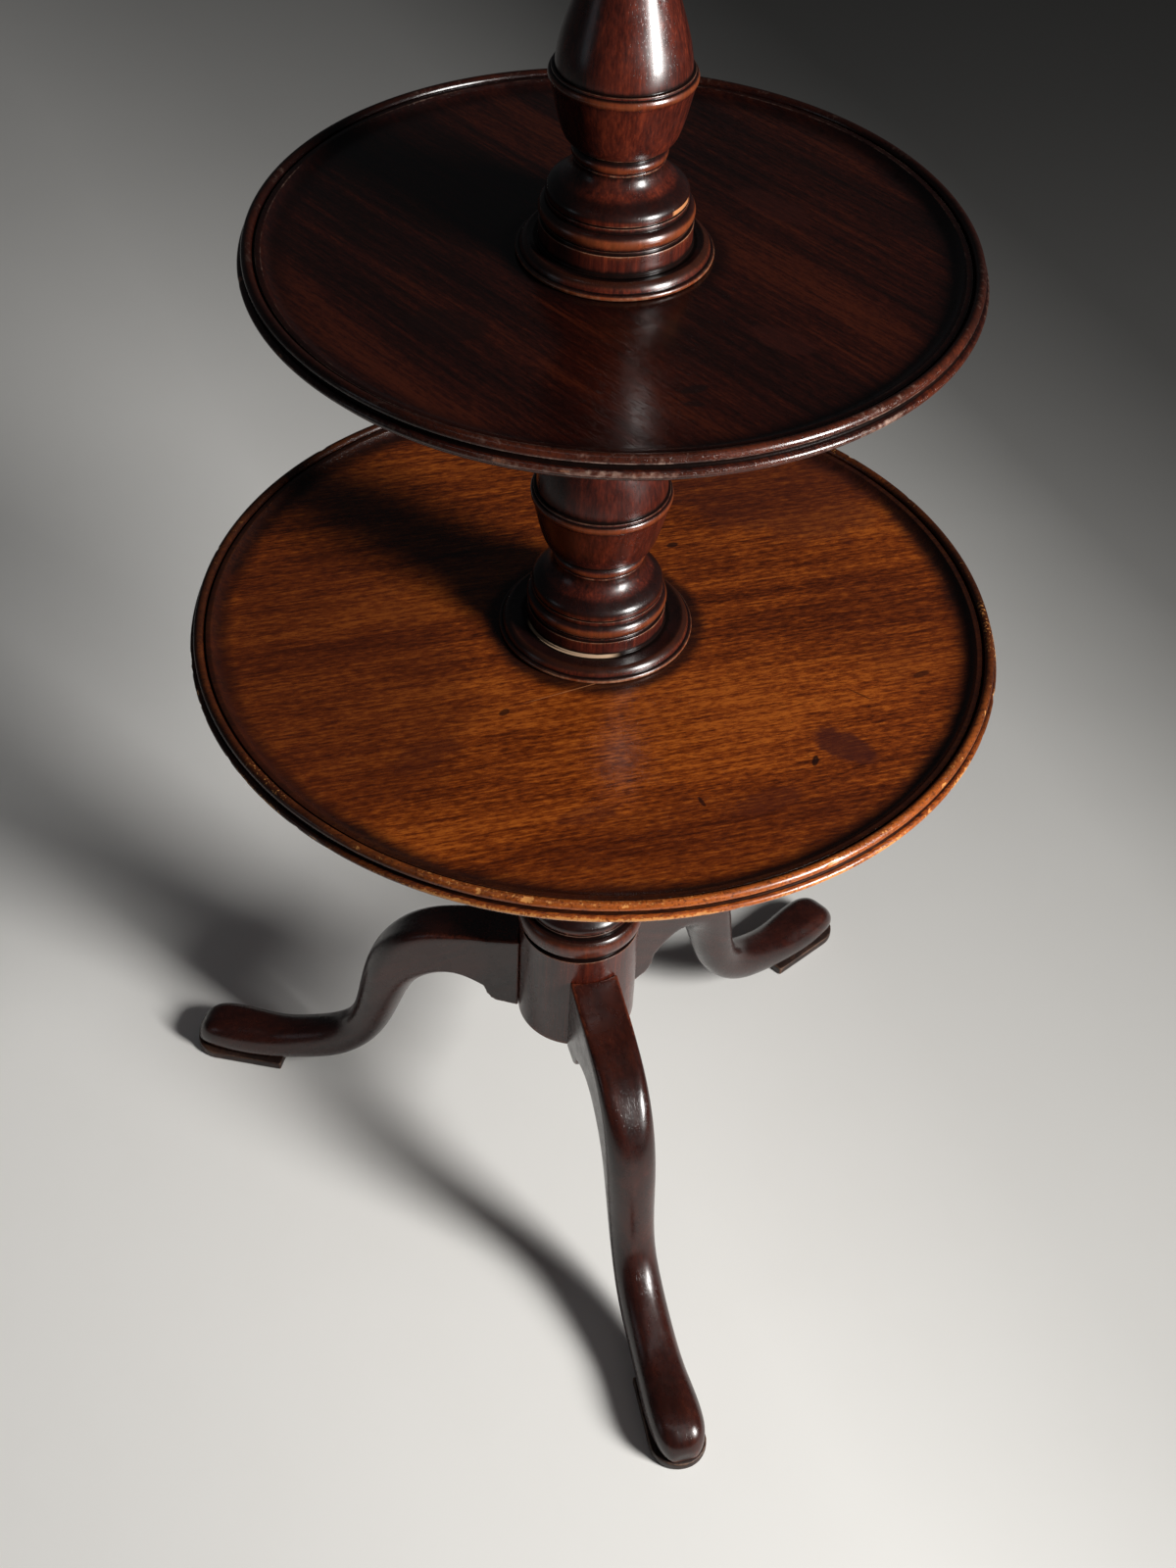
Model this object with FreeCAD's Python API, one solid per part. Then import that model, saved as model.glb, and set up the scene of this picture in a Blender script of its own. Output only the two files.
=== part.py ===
import FreeCAD, Part
import math
import os

# Three-tier revolving dumb-waiter: dished trays on a turned column that stands on a tripod of cabriole legs.
# Frame: origin on the floor under the column's axis, +Z up, the front leg points along -Y. Sizes in mm.

# ------------------------------------------------------------ trays
BOTTOM_TRAY_RADIUS = 290.0
MIDDLE_TRAY_RADIUS = 235.0
TOP_TRAY_RADIUS = 190.0
BOTTOM_RIM = 602.0           # top of the bottom tray's rim above the floor
MIDDLE_TRAY_RISE = 304.0     # from the bottom tray's rim to the middle tray's
TOP_TRAY_RISE = 290.0        # from the middle tray's rim to the top tray's
DISH_DEPTH = 8.0             # rim top down to the tray's floor

# Mouldings of the rim, from its top down the outside. They add up to the thickness of the tray's board.
BEAD_RADIUS = 3.5            # bead that crowns the rim
EDGE_STEP = 1.1              # flat side under the bead
EDGE_GROOVE_HEIGHT = 3.6
EDGE_ROLL_RADIUS = 2.6
PLAIN_EDGE_HEIGHT = 2.9
UNDER_ROUND_HEIGHT = 3.2     # rounding from the plain edge to the underside
UNDER_ROUND_WIDTH = 6.0
EDGE_GROOVE_DEPTH = 1.5      # measured in from the side of the bead
BEAD_SET_BACK = 2.7          # side of the bead inside the roll's outer side
PLAIN_EDGE_SET_BACK = 4.5    # plain edge inside the roll's outer side

# Mouldings inside the bead.
QUIRK_WIDTH = 1.5            # narrow groove beside the bead
QUIRK_DEPTH = 0.9            # below the side of the bead
RIM_FILLET_WIDTH = 3.8       # flat band between the quirk and the cove
RIM_FILLET_DROP = 2.9        # below the top of the bead
COVE_WIDTH = 9.0             # hollow that runs down to the floor

# ------------------------------------------------------------ turning gear between the column and the trays
JOURNAL_RADIUS = 19.0        # round neck of a column section, which its tray turns on
RUN_CLEARANCE = 0.08         # radial, tray on journal
END_PLAY = 0.3               # between a tray's floor and the column base above it
TENON_SHOULDER = 6.5         # ring round the tenon that stands on the collar below
TENON_LENGTH = 52.0
TENON_END_GAP = 2.0
GLUE_LINE = 0.05
BOSS_RADIUS = 76.0           # round bearer under each tray
BOSS_THICKNESS = 14.0
BOSS_ROUND = 4.0
WASHER_THICKNESS = 2.0       # leather washer between the collar and the bearer
WASHER_MARGIN = 1.0          # washer inside the collar's flat top
TOP_BORE_COVER = 6.5         # wood left above the blind bore of the top tray

# ------------------------------------------------------------ wood screws
SCREW_RADIUS = 2.2
SCREW_HEAD_RADIUS = 4.4
SCREW_HEAD_HEIGHT = 2.4
BOSS_SCREW_COUNT = 4
BOSS_SCREW_MARGIN = 19.0     # from the bearer's edge
BOSS_SCREW_COVER = 4.5       # wood left above the screw's point

# ------------------------------------------------------------ column
BARREL_RADIUS = 49.5
BARREL_BOTTOM = 170.0
BARREL_HEIGHT = 104.0
BARREL_QUIRK_HEIGHT = 4.5    # groove between the barrel and the torus above it
BARREL_QUIRK_DEPTH = 2.5
BARREL_TORUS_HEIGHT = 18.0

# Base disc of a section that stands on a tray, from its foot up.
BASE_RING_HEIGHT = 3.6
BASE_RING_PROUD = 1.2
BASE_STEP = 2.6              # from the ring's edge in to the ogee
BASE_OGEE_HEIGHT = 6.2
BASE_OGEE_WIDTH = 4.6
BASE_DISH_DEPTH = 1.4        # shallow hollow on top of the disc, down to the band
BAND_HEIGHT = 12.3           # plain band between the disc and the torus
BAND_INSET = 0.5             # inside the torus
BAND_FOOT_HEIGHT = 1.8       # thin ring that the band stands on
BAND_FOOT_PROUD = 0.7
BAND_GROOVE_HEIGHT = 1.8
BAND_GROOVE_DEPTH = 1.8
TORUS_HEIGHT = 11.0

# Baluster that all three sections share, from its torus up.
TORUS_PROUD = 3.6
FILLET_HEIGHT = 3.5          # flat band between the torus and the bell
BELL_GROOVE = 1.1            # fine groove under the bell, as deep as it is high
BELL_RIM_HEIGHT = 2.6
BELL_HEIGHT = 19.5           # full below and drawn in to a throat above
BELL_FULLNESS = 0.85         # how far its lower part rises before it leans in, as a share of its height
BELL_THROAT = 0.20           # how far its throat rises upright, as a share of its height
NECK_STEP_HEIGHT = 1.5       # fine step between the throat and the neck bead
NECK_STEP_PROUD = 0.9
NECK_BEAD_HEIGHT = 7.0
NECK_BEAD_PROUD = 2.1
NECK_GROOVE_HEIGHT = 2.5
CUP_RING_HEIGHT = 1.3        # fine ring that the bowl stands on
CUP_RING_PROUD = 2.2
CUP_HEIGHT = 42.0            # bowl from the neck out to the belly
CUP_FULLNESS = 0.50          # how far out the bowl's curve runs level, as a share of its gain in radius
CUP_FLARE = (0.65, 0.48)     # pole that sets its flare, as shares of its gain in radius and in height
BELLY_RING_HEIGHT = 6.0
BELLY_RING_PROUD = 1.1
BELLY_STEP_HEIGHT = 2.0      # each of the two fine steps above the belly ring
BELLY_STEP_INSET = 2.0
VASE_SHOULDER = (0.10, 0.27) # lower pole of the vase's side, as shares of its loss in radius and its height
VASE_THROAT = 0.55           # height of its upper pole, which makes it leave upright
ASTRAGAL_HEIGHT = 7.0        # small bead between the vase and the capital
ASTRAGAL_PROUD = 4.5
CAPITAL_HEIGHT = 22.0
COLLAR_HEIGHT = 7.0
COLLAR_ROUND = 2.0

# Radii of each section, from its foot up.
LOWER_SECTION = {
    "torus": 52.3, "bell": 44.0, "neck": 33.4, "belly": 49.6, "waist": 22.5, "collar": 46.0,
}
MIDDLE_SECTION = {
    "base": 69.7, "torus": 50.0, "bell": 46.8, "neck": 33.4, "belly": 49.4, "waist": 21.5, "collar": 43.0,
}
UPPER_SECTION = {
    "base": 62.6, "torus": 48.9, "bell": 44.5, "neck": 29.8, "belly": 45.1, "waist": 20.0, "collar": 40.0,
}

# ------------------------------------------------------------ legs
LEG_ANGLES = {"front": -90.0, "right": 30.0, "left": 150.0}
LEG_WIDTH = 41.0
LEG_SHOULDER_HEIGHT = 82.5   # height of the leg's square block where it meets the barrel
LEG_BLOCK_LENGTH = 26.5      # from the barrel out to the cusp
LEG_CUSP_LENGTH = 9.5        # rounded lower corner of the block
LEG_ARM_THICKNESS = 60.0     # just past the cusp
LEG_ARM_DROP = 8.5           # how far the top falls from the barrel to the cusp
LEG_EDGE_ROUND = 2.0         # softened top edges of the block
TOE_REACH = 356.0            # column axis to the toe's tip
TOE_SINK = 1.5               # planed off the toe, so that it stands flat on its pad

# Sections of the sweep from the cusp to the instep: place between the cusp and the toe's tip, height between
# the pad and the middle of the arm, slope in degrees, thickness and width in leg widths, roundness of corners.
LEG_SECTIONS = (
    (0.000, 1.000, 2, LEG_ARM_THICKNESS / LEG_WIDTH, 1.00, 0.10),
    (0.086, 1.005, 8, 1.20, 1.00, 0.20),
    (0.161, 0.980, 16, 1.17, 1.00, 0.34),
    (0.239, 0.912, 32, 1.20, 1.00, 0.54),
    (0.300, 0.805, 52, 1.16, 1.00, 0.78),
    (0.343, 0.654, 64, 1.04, 0.98, 0.90),
    (0.377, 0.479, 67, 0.90, 0.93, 0.94),
    (0.434, 0.304, 50, 0.83, 0.90, 0.96),
    (0.507, 0.207, 32, 0.88, 0.93, 0.94),
    (0.621, 0.129, 17, 0.90, 0.95, 0.94),
)
# Sections of the toe, which stands on the pad: place, thickness, width and roundness in the same terms.
TOE_SECTIONS = (
    (0.746, 0.88, 1.01, 0.94),
    (0.889, 0.78, 1.09, 0.93),
    (0.964, 0.63, 0.89, 0.91),
    (0.996, 0.34, 0.46, 0.91),
)

KEY_DEPTH = 18.0             # dovetail key of the leg in the barrel
KEY_NECK_WIDTH = 15.0
KEY_TAIL_WIDTH = 23.0
KEY_HEIGHT = 68.0
KEY_ROOT = 8.0               # how far the key's block runs back into the leg

PAD_THICKNESS = 8.5
PAD_LENGTH = 86.0
PAD_OUTER_WIDTH = 47.0       # under the toe
PAD_INNER_WIDTH = 39.0       # at the blunt inner end
PAD_MARGIN = 1.5             # pad beyond the toe's tip
PAD_CHAMFER = 1.5

# ------------------------------------------------------------ iron brace under the barrel
BRACE_THICKNESS = 3.0
BRACE_HUB_RADIUS = 31.0
BRACE_ARM_WIDTH = 20.0
BRACE_END_MARGIN = 3.0       # arm's end inside the flat foot of the leg's block
BRACE_SCREW_MARGIN = 9.0     # from the hub's edge and from the arm's end
BRACE_SCREW_LENGTH = 20.0

# ------------------------------------------------------------ sizes that follow
MIDDLE_RIM = BOTTOM_RIM + MIDDLE_TRAY_RISE
TOP_RIM = MIDDLE_RIM + TOP_TRAY_RISE
EDGE_GROOVE_DROP = BEAD_RADIUS + EDGE_STEP
EDGE_ROLL_DROP = EDGE_GROOVE_DROP + EDGE_GROOVE_HEIGHT
PLAIN_EDGE_DROP = EDGE_ROLL_DROP + 2 * EDGE_ROLL_RADIUS
BOARD_THICKNESS = PLAIN_EDGE_DROP + PLAIN_EDGE_HEIGHT + UNDER_ROUND_HEIGHT
FLOOR_THICKNESS = BOARD_THICKNESS - DISH_DEPTH
COLLAR_DROP = BOARD_THICKNESS + BOSS_THICKNESS + WASHER_THICKNESS
BORE_RADIUS = JOURNAL_RADIUS + RUN_CLEARANCE
TENON_RADIUS = JOURNAL_RADIUS - TENON_SHOULDER
TOP_JOURNAL_END = TOP_RIM - DISH_DEPTH - TOP_BORE_COVER
BOSS_SCREW_CIRCLE = BOSS_RADIUS - BOSS_SCREW_MARGIN
BOSS_SCREW_BITE = FLOOR_THICKNESS - BOSS_SCREW_COVER
BARREL_TOP = BARREL_BOTTOM + BARREL_HEIGHT
BLOCK_END = BARREL_RADIUS + LEG_BLOCK_LENGTH
BLOCK_FOOT_END = BLOCK_END - LEG_CUSP_LENGTH
LEG_ARM_TOP = BARREL_BOTTOM + LEG_SHOULDER_HEIGHT - LEG_ARM_DROP
BRACE_ARM_END = BLOCK_FOOT_END - BRACE_END_MARGIN
BRACE_OUTER_SCREW = BRACE_ARM_END - BRACE_SCREW_MARGIN
BRACE_HUB_SCREW = BRACE_HUB_RADIUS - BRACE_SCREW_MARGIN
HALF_TURN_BETWEEN_LEGS = 60.0

UP = FreeCAD.Vector(0, 0, 1)
SIDEWAYS = FreeCAD.Vector(0, 1, 0)
ORIGIN = FreeCAD.Vector(0, 0, 0)


def point(r, z):
    return FreeCAD.Vector(r, 0, z)


# An outline is a list of moves from one (radius, height) place to the next. A straight move holds its end,
# an arc holds a place that it passes and its end, and a curve holds its two poles and its end.
def to(*places):
    return [(place,) for place in places]


def arc_about(centre, start, end):
    """Arc shorter than a half turn about the centre, from start to end."""
    radius = math.dist(centre, start)
    across = start[0] + end[0] - 2 * centre[0]
    along = start[1] + end[1] - 2 * centre[1]
    reach = radius / math.hypot(across, along)
    return [((centre[0] + reach * across, centre[1] + reach * along), end)]


def leaves_upright(start, end):
    """Arc that leaves its start upright: an ovolo if it leans in, a cavetto if it flares out."""
    across, along = end[0] - start[0], end[1] - start[1]
    radius = (across ** 2 + along ** 2) / (2 * across)
    return arc_about((start[0] + radius, start[1]), start, end)


def leaves_level(start, end):
    across, along = end[0] - start[0], end[1] - start[1]
    radius = (across ** 2 + along ** 2) / (2 * along)
    return arc_about((start[0], start[1] + radius), start, end)


def arrives_level(start, end):
    across, along = end[0] - start[0], start[1] - end[1]
    radius = (across ** 2 + along ** 2) / (2 * along)
    return arc_about((end[0], end[1] + radius), start, end)


def bead(inner, outer, low, high):
    """Straight move to the bead's lower edge, then an arc that swells from inner to outer and back."""
    return to((inner, low)) + [((outer, (low + high) / 2), (inner, high))]


def fillet(radius, low, high):
    """Flat upright band."""
    return to((radius, low), (radius, high))


def edges_along(start, moves):
    """Edges of the closed outline that the moves make from the start and back to it."""
    edges = []
    here = start
    for move in moves + to(start):
        places = [point(*here)] + [point(*place) for place in move]
        here = move[-1]
        if places[0].isEqual(places[-1], 1e-6):
            continue
        if len(places) == 2:
            edges.append(Part.makeLine(*places))
        elif len(places) == 3:
            edges.append(Part.Arc(*places).toShape())
        else:
            curve = Part.BezierCurve()
            curve.setPoles(places)
            edges.append(curve.toShape())
    return edges


def turned(start, moves):
    """Solid that a closed outline sweeps when it turns about the column's axis."""
    face = Part.Face(Part.Wire(edges_along(start, moves)))
    return face.revolve(ORIGIN, UP, 360)


def cylinder(radius, low, high, x=0.0, y=0.0):
    return Part.makeCylinder(radius, high - low, FreeCAD.Vector(x, y, low))


def turn_to(shape, angle):
    """Copy of a shape that points along +X, turned about the column's axis."""
    copy = shape.copy()
    copy.rotate(ORIGIN, UP, angle)
    return copy


def lift(shape, x, y, z):
    shape.translate(FreeCAD.Vector(x, y, z))
    return shape


# ------------------------------------------------------------ column
def collar_under(rim):
    """Height of the collar that carries the tray with this rim height."""
    return rim - COLLAR_DROP


def bell_side(low, high):
    """Side of a bell: leaves its rim upright, swells in and turns up again into the throat."""
    up = high[1] - low[1]
    return [((low[0], low[1] + BELL_FULLNESS * up), (high[0], high[1] - BELL_THROAT * up), high)]


def cup(low, high):
    """Side of a bowl: leaves the neck level, then steepens all the way to the belly."""
    out, up = high[0] - low[0], high[1] - low[1]
    first = (low[0] + CUP_FULLNESS * out, low[1])
    second = (low[0] + CUP_FLARE[0] * out, low[1] + CUP_FLARE[1] * up)
    return [(first, second, high)]


def vase_side(low, high):
    """Side of the tall vase: full above the belly, drawn in fast and then upright up to the astragal."""
    loss, up = low[0] - high[0], high[1] - low[1]
    first = (low[0] - VASE_SHOULDER[0] * loss, low[1] + VASE_SHOULDER[1] * up)
    second = (high[0], low[1] + VASE_THROAT * up)
    return [(first, second, high)]


def baluster(section, torus_low, torus_high, collar_top):
    """Moves up the baluster, from under its torus to its collar's flat top."""
    groove_low = torus_high + FILLET_HEIGHT
    rim_low = groove_low + BELL_GROOVE
    dome_low = rim_low + BELL_RIM_HEIGHT
    step_low = dome_low + BELL_HEIGHT
    neck_low = step_low + NECK_STEP_HEIGHT
    neck_high = neck_low + NECK_BEAD_HEIGHT
    ring_low = neck_high + NECK_GROOVE_HEIGHT
    cup_low = ring_low + CUP_RING_HEIGHT
    belly_low = cup_low + CUP_HEIGHT
    belly_high = belly_low + BELLY_RING_HEIGHT
    step_high = belly_high + BELLY_STEP_HEIGHT
    vase_low = step_high + BELLY_STEP_HEIGHT
    collar_low = collar_top - COLLAR_HEIGHT
    capital_low = collar_low - CAPITAL_HEIGHT
    astragal_low = capital_low - ASTRAGAL_HEIGHT
    bell, belly, waist, collar = section["bell"], section["belly"], section["waist"], section["collar"]
    throat = section["neck"] - NECK_BEAD_PROUD
    cup_foot = throat + CUP_RING_PROUD
    collar_flat = collar - COLLAR_ROUND

    moves = bead(section["torus"] - TORUS_PROUD, section["torus"], torus_low, torus_high)
    moves += fillet(bell, torus_high, groove_low)
    moves += fillet(bell - BELL_GROOVE, groove_low, rim_low)
    moves += fillet(bell, rim_low, dome_low)
    moves += bell_side((bell, dome_low), (throat, step_low))
    moves += fillet(throat + NECK_STEP_PROUD, step_low, neck_low)
    moves += bead(throat, section["neck"], neck_low, neck_high)
    moves += fillet(throat, neck_high, ring_low)
    moves += fillet(cup_foot, ring_low, cup_low)
    moves += cup((cup_foot, cup_low), (belly - BELLY_RING_PROUD, belly_low))
    moves += bead(belly - BELLY_RING_PROUD, belly, belly_low, belly_high)
    moves += fillet(belly - BELLY_STEP_INSET, belly_high, step_high)
    moves += fillet(belly - 2 * BELLY_STEP_INSET, step_high, vase_low)
    moves += vase_side((belly - 2 * BELLY_STEP_INSET, vase_low), (waist, astragal_low))
    moves += bead(waist, waist + ASTRAGAL_PROUD, astragal_low, capital_low)
    moves += leaves_upright((waist, capital_low), (collar_flat, collar_low))
    moves += bead(collar_flat, collar, collar_low, collar_top)
    return moves


def socket(collar_top):
    """Moves down the blind socket in a section's top, for the tenon of the section above."""
    radius = TENON_RADIUS + GLUE_LINE
    floor = collar_top - TENON_LENGTH - TENON_END_GAP
    return to((radius, collar_top), (radius, floor), (0, floor))


def top_journal():
    """Moves up the journal that carries the top tray."""
    collar_top = collar_under(TOP_RIM)
    return to((JOURNAL_RADIUS, collar_top), (JOURNAL_RADIUS, TOP_JOURNAL_END), (0, TOP_JOURNAL_END))


def make_lower_pillar():
    torus_low = BARREL_TOP + BARREL_QUIRK_HEIGHT
    torus_high = torus_low + BARREL_TORUS_HEIGHT
    collar_top = collar_under(BOTTOM_RIM)
    moves = fillet(BARREL_RADIUS, BARREL_BOTTOM, BARREL_TOP)
    moves += fillet(BARREL_RADIUS - BARREL_QUIRK_DEPTH, BARREL_TOP, torus_low)
    moves += baluster(LOWER_SECTION, torus_low, torus_high, collar_top)
    moves += socket(collar_top)
    pillar = turned((0, BARREL_BOTTOM), moves)
    for angle in LEG_ANGLES.values():
        pillar = pillar.cut(turn_to(dovetail_key(GLUE_LINE), angle))
        pillar = pillar.cut(turn_to(brace_screw(BRACE_HUB_SCREW, GLUE_LINE), angle + HALF_TURN_BETWEEN_LEGS))
    return pillar


def make_upper_section(section, rim_below, rim_above, top_moves):
    """Column section that stands on a tray: tenon and journal below, then base disc, band and baluster."""
    shoulder = collar_under(rim_below)
    tenon_low = shoulder - TENON_LENGTH
    base_low = rim_below - DISH_DEPTH + END_PLAY
    ring_high = base_low + BASE_RING_HEIGHT
    ogee_high = ring_high + BASE_OGEE_HEIGHT
    dish_low = ogee_high - BASE_DISH_DEPTH
    band_high = dish_low + BAND_HEIGHT
    torus_low = band_high + BAND_GROOVE_HEIGHT
    base = section["base"]
    band = section["torus"] - BAND_INSET
    ogee_foot = (base - BASE_STEP, ring_high)
    ogee_edge = (base - BASE_STEP - BASE_OGEE_WIDTH, ogee_high)
    band_foot = band + BAND_FOOT_PROUD

    moves = to((TENON_RADIUS, tenon_low), (TENON_RADIUS, shoulder), (JOURNAL_RADIUS, shoulder))
    moves += to((JOURNAL_RADIUS, base_low))
    moves += bead(base - BASE_RING_PROUD, base, base_low, ring_high)
    moves += to(ogee_foot)
    moves += leaves_upright(ogee_foot, ogee_edge)
    moves += arrives_level(ogee_edge, (band_foot, dish_low))
    moves += to((band_foot, dish_low + BAND_FOOT_HEIGHT))
    moves += fillet(band, dish_low + BAND_FOOT_HEIGHT, band_high)
    moves += fillet(band - BAND_GROOVE_DEPTH, band_high, torus_low)
    moves += baluster(section, torus_low, torus_low + TORUS_HEIGHT, collar_under(rim_above))
    return turned((0, tenon_low), moves + top_moves)


# ------------------------------------------------------------ trays and their turning gear
def tray_rim(radius, rim):
    """Moves round a tray's rim: up its outside, over the bead and down the cove to the floor."""
    under = rim - BOARD_THICKNESS
    roll_low = rim - PLAIN_EDGE_DROP
    roll_high = rim - EDGE_ROLL_DROP
    groove_high = rim - EDGE_GROOVE_DROP
    bead_low = rim - BEAD_RADIUS
    quirk_floor = bead_low - QUIRK_DEPTH
    fillet_top = rim - RIM_FILLET_DROP
    plain_edge = radius - PLAIN_EDGE_SET_BACK
    bead_outer = radius - BEAD_SET_BACK
    bead_inner = bead_outer - 2 * BEAD_RADIUS
    quirk_inner = bead_inner - QUIRK_WIDTH
    cove_top = quirk_inner - RIM_FILLET_WIDTH
    round_start = (plain_edge - UNDER_ROUND_WIDTH, under)
    groove_middle = (bead_outer - EDGE_GROOVE_DEPTH, (groove_high + roll_high) / 2)

    moves = to(round_start)
    moves += leaves_level(round_start, (plain_edge, under + UNDER_ROUND_HEIGHT))
    moves += to((plain_edge, roll_low))
    moves += bead(radius - EDGE_ROLL_RADIUS, radius, roll_low, roll_high)
    moves += [(groove_middle, (bead_outer, groove_high))]
    moves += to((bead_outer, bead_low))
    moves += [((bead_outer - BEAD_RADIUS, rim), (bead_inner, bead_low))]
    moves += to((bead_inner, quirk_floor), (quirk_inner, quirk_floor))
    moves += to((quirk_inner, fillet_top), (cove_top, fillet_top))
    moves += arrives_level((cove_top, fillet_top), (cove_top - COVE_WIDTH, rim - DISH_DEPTH))
    return moves


def boss_screw_places():
    turns = [2 * math.pi * i / BOSS_SCREW_COUNT for i in range(BOSS_SCREW_COUNT)]
    return [(BOSS_SCREW_CIRCLE * math.cos(turn), BOSS_SCREW_CIRCLE * math.sin(turn)) for turn in turns]


def wood_screw(length, clearance=0.0):
    """Countersunk screw that points up from its head at the origin, or with a clearance its hole."""
    head = SCREW_HEAD_RADIUS + clearance
    shank = SCREW_RADIUS + clearance
    return turned((0, 0), to((head, 0), (shank, SCREW_HEAD_HEIGHT), (shank, length), (0, length)))


def make_tray(radius, rim, bore_top):
    """Dished tray, bored for the journal from its underside up to bore_top."""
    under = rim - BOARD_THICKNESS
    tray = turned((0, under), tray_rim(radius, rim) + to((0, rim - DISH_DEPTH)))
    tray = tray.cut(cylinder(BORE_RADIUS, under, bore_top))
    for x, y in boss_screw_places():
        tray = tray.cut(cylinder(SCREW_RADIUS + GLUE_LINE, under, under + BOSS_SCREW_BITE, x, y))
    return tray


def make_boss(rim):
    high = rim - BOARD_THICKNESS
    low = high - BOSS_THICKNESS
    round_start = (BOSS_RADIUS - BOSS_ROUND, low)
    moves = to(round_start) + leaves_level(round_start, (BOSS_RADIUS, low + BOSS_ROUND))
    moves += to((BOSS_RADIUS, high), (BORE_RADIUS, high))
    boss = turned((BORE_RADIUS, low), moves)
    for x, y in boss_screw_places():
        boss = boss.cut(lift(wood_screw(BOSS_THICKNESS, GLUE_LINE), x, y, low))
    return boss


def make_boss_screws(rim):
    low = rim - BOARD_THICKNESS - BOSS_THICKNESS
    length = BOSS_THICKNESS + BOSS_SCREW_BITE - GLUE_LINE
    return Part.makeCompound([lift(wood_screw(length), x, y, low) for x, y in boss_screw_places()])


def make_washer(rim, section):
    low = collar_under(rim)
    high = low + WASHER_THICKNESS
    washer = cylinder(section["collar"] - COLLAR_ROUND - WASHER_MARGIN, low, high)
    return washer.cut(cylinder(BORE_RADIUS, low, high))


# ------------------------------------------------------------ legs, drawn pointing along +X and then turned
def dovetail_key(clearance=0.0):
    """Key on the leg's shoulder. With a clearance it is the socket for it, open at the barrel's foot."""
    neck = KEY_NECK_WIDTH / 2 + clearance
    tail = KEY_TAIL_WIDTH / 2 + clearance
    inner = BARREL_RADIUS - KEY_DEPTH - clearance
    root = BARREL_RADIUS + KEY_ROOT
    one_side = [(inner, tail), (BARREL_RADIUS, neck), (root, neck)]
    other_side = [(x, -y) for x, y in reversed(one_side)]
    corners = [FreeCAD.Vector(x, y, BARREL_BOTTOM) for x, y in one_side + other_side]
    foot = Part.makePolygon(corners + corners[:1])
    return Part.Face(foot).extrude(UP * (KEY_HEIGHT + clearance))


def make_leg_block():
    """Square block from the barrel to the cusp, hollowed to fit round the barrel."""
    shoulder_top = BARREL_BOTTOM + LEG_SHOULDER_HEIGHT
    arm_low = LEG_ARM_TOP - LEG_ARM_THICKNESS
    inside = BARREL_RADIUS - LEG_WIDTH / 4
    corner_middle = (BLOCK_END - LEG_CUSP_LENGTH / 4, (BARREL_BOTTOM + arm_low) / 2)
    moves = to((BLOCK_FOOT_END, BARREL_BOTTOM)) + [(corner_middle, (BLOCK_END, arm_low))]
    moves += to((BLOCK_END, LEG_ARM_TOP), (inside, shoulder_top))
    side = Part.Face(Part.Wire(edges_along((inside, BARREL_BOTTOM), moves)))
    block = lift(side, 0, -LEG_WIDTH / 2, 0).extrude(SIDEWAYS * LEG_WIDTH)
    side_edges = [edge for edge in block.Edges if edge.BoundBox.YLength < LEG_EDGE_ROUND]
    top_edges = [edge for edge in side_edges if edge.BoundBox.ZMin > LEG_ARM_TOP - LEG_EDGE_ROUND]
    block = block.makeFillet(LEG_EDGE_ROUND, top_edges)
    return block.cut(cylinder(BARREL_RADIUS + GLUE_LINE, BARREL_BOTTOM, BARREL_TOP))


def leg_section(out, up, slope, thickness, width, roundness):
    """Closed outline across the leg: a rectangle with round corners that leans by the slope."""
    half_width = LEG_WIDTH * width / 2
    half_thickness = LEG_WIDTH * thickness / 2
    corner = roundness * min(half_width, half_thickness)
    tilt = math.radians(slope)
    upward = FreeCAD.Vector(math.sin(tilt), 0, math.cos(tilt))
    edges = []
    for side, top in ((1, 1), (-1, 1), (-1, -1), (1, -1)):
        to_side = SIDEWAYS * side
        to_top = upward * top
        middle = point(out, up) + to_side * (half_width - corner) + to_top * (half_thickness - corner)
        ends = [middle + to_side * corner, middle + to_top * corner]
        if side != top:
            ends.reverse()
        diagonal = middle + (to_side + to_top) * corner * math.sqrt(0.5)
        if edges:
            edges.append(Part.makeLine(edges[-1].lastVertex(True).Point, ends[0]))
        edges.append(Part.Arc(ends[0], diagonal, ends[1]).toShape())
    edges.append(Part.makeLine(edges[-1].lastVertex(True).Point, edges[0].firstVertex(True).Point))
    return Part.Wire(edges)


def make_leg():
    """Leg with its block, cabriole sweep, toe planed flat for its pad, dovetail key and screw hole."""
    run = TOE_REACH - BLOCK_END
    rise = LEG_ARM_TOP - LEG_ARM_THICKNESS / 2 - PAD_THICKNESS
    sections = []
    for place, height, slope, thickness, width, roundness in LEG_SECTIONS:
        out = BLOCK_END + place * run
        up = PAD_THICKNESS + height * rise
        sections.append(leg_section(out, up, slope, thickness, width, roundness))
    for place, thickness, width, roundness in TOE_SECTIONS:
        out = BLOCK_END + place * run
        up = PAD_THICKNESS - TOE_SINK + LEG_WIDTH * thickness / 2
        sections.append(leg_section(out, up, 0, thickness, width, roundness))
    sweep = Part.makeLoft(sections, True, False)
    leg = make_leg_block().fuse([sweep, dovetail_key()]).removeSplitter()
    planed_off = Part.makeBox(run, 2 * LEG_WIDTH, PAD_THICKNESS, FreeCAD.Vector(BLOCK_END, -LEG_WIDTH, 0))
    return leg.cut([planed_off, brace_screw(BRACE_OUTER_SCREW, GLUE_LINE)])


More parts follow.
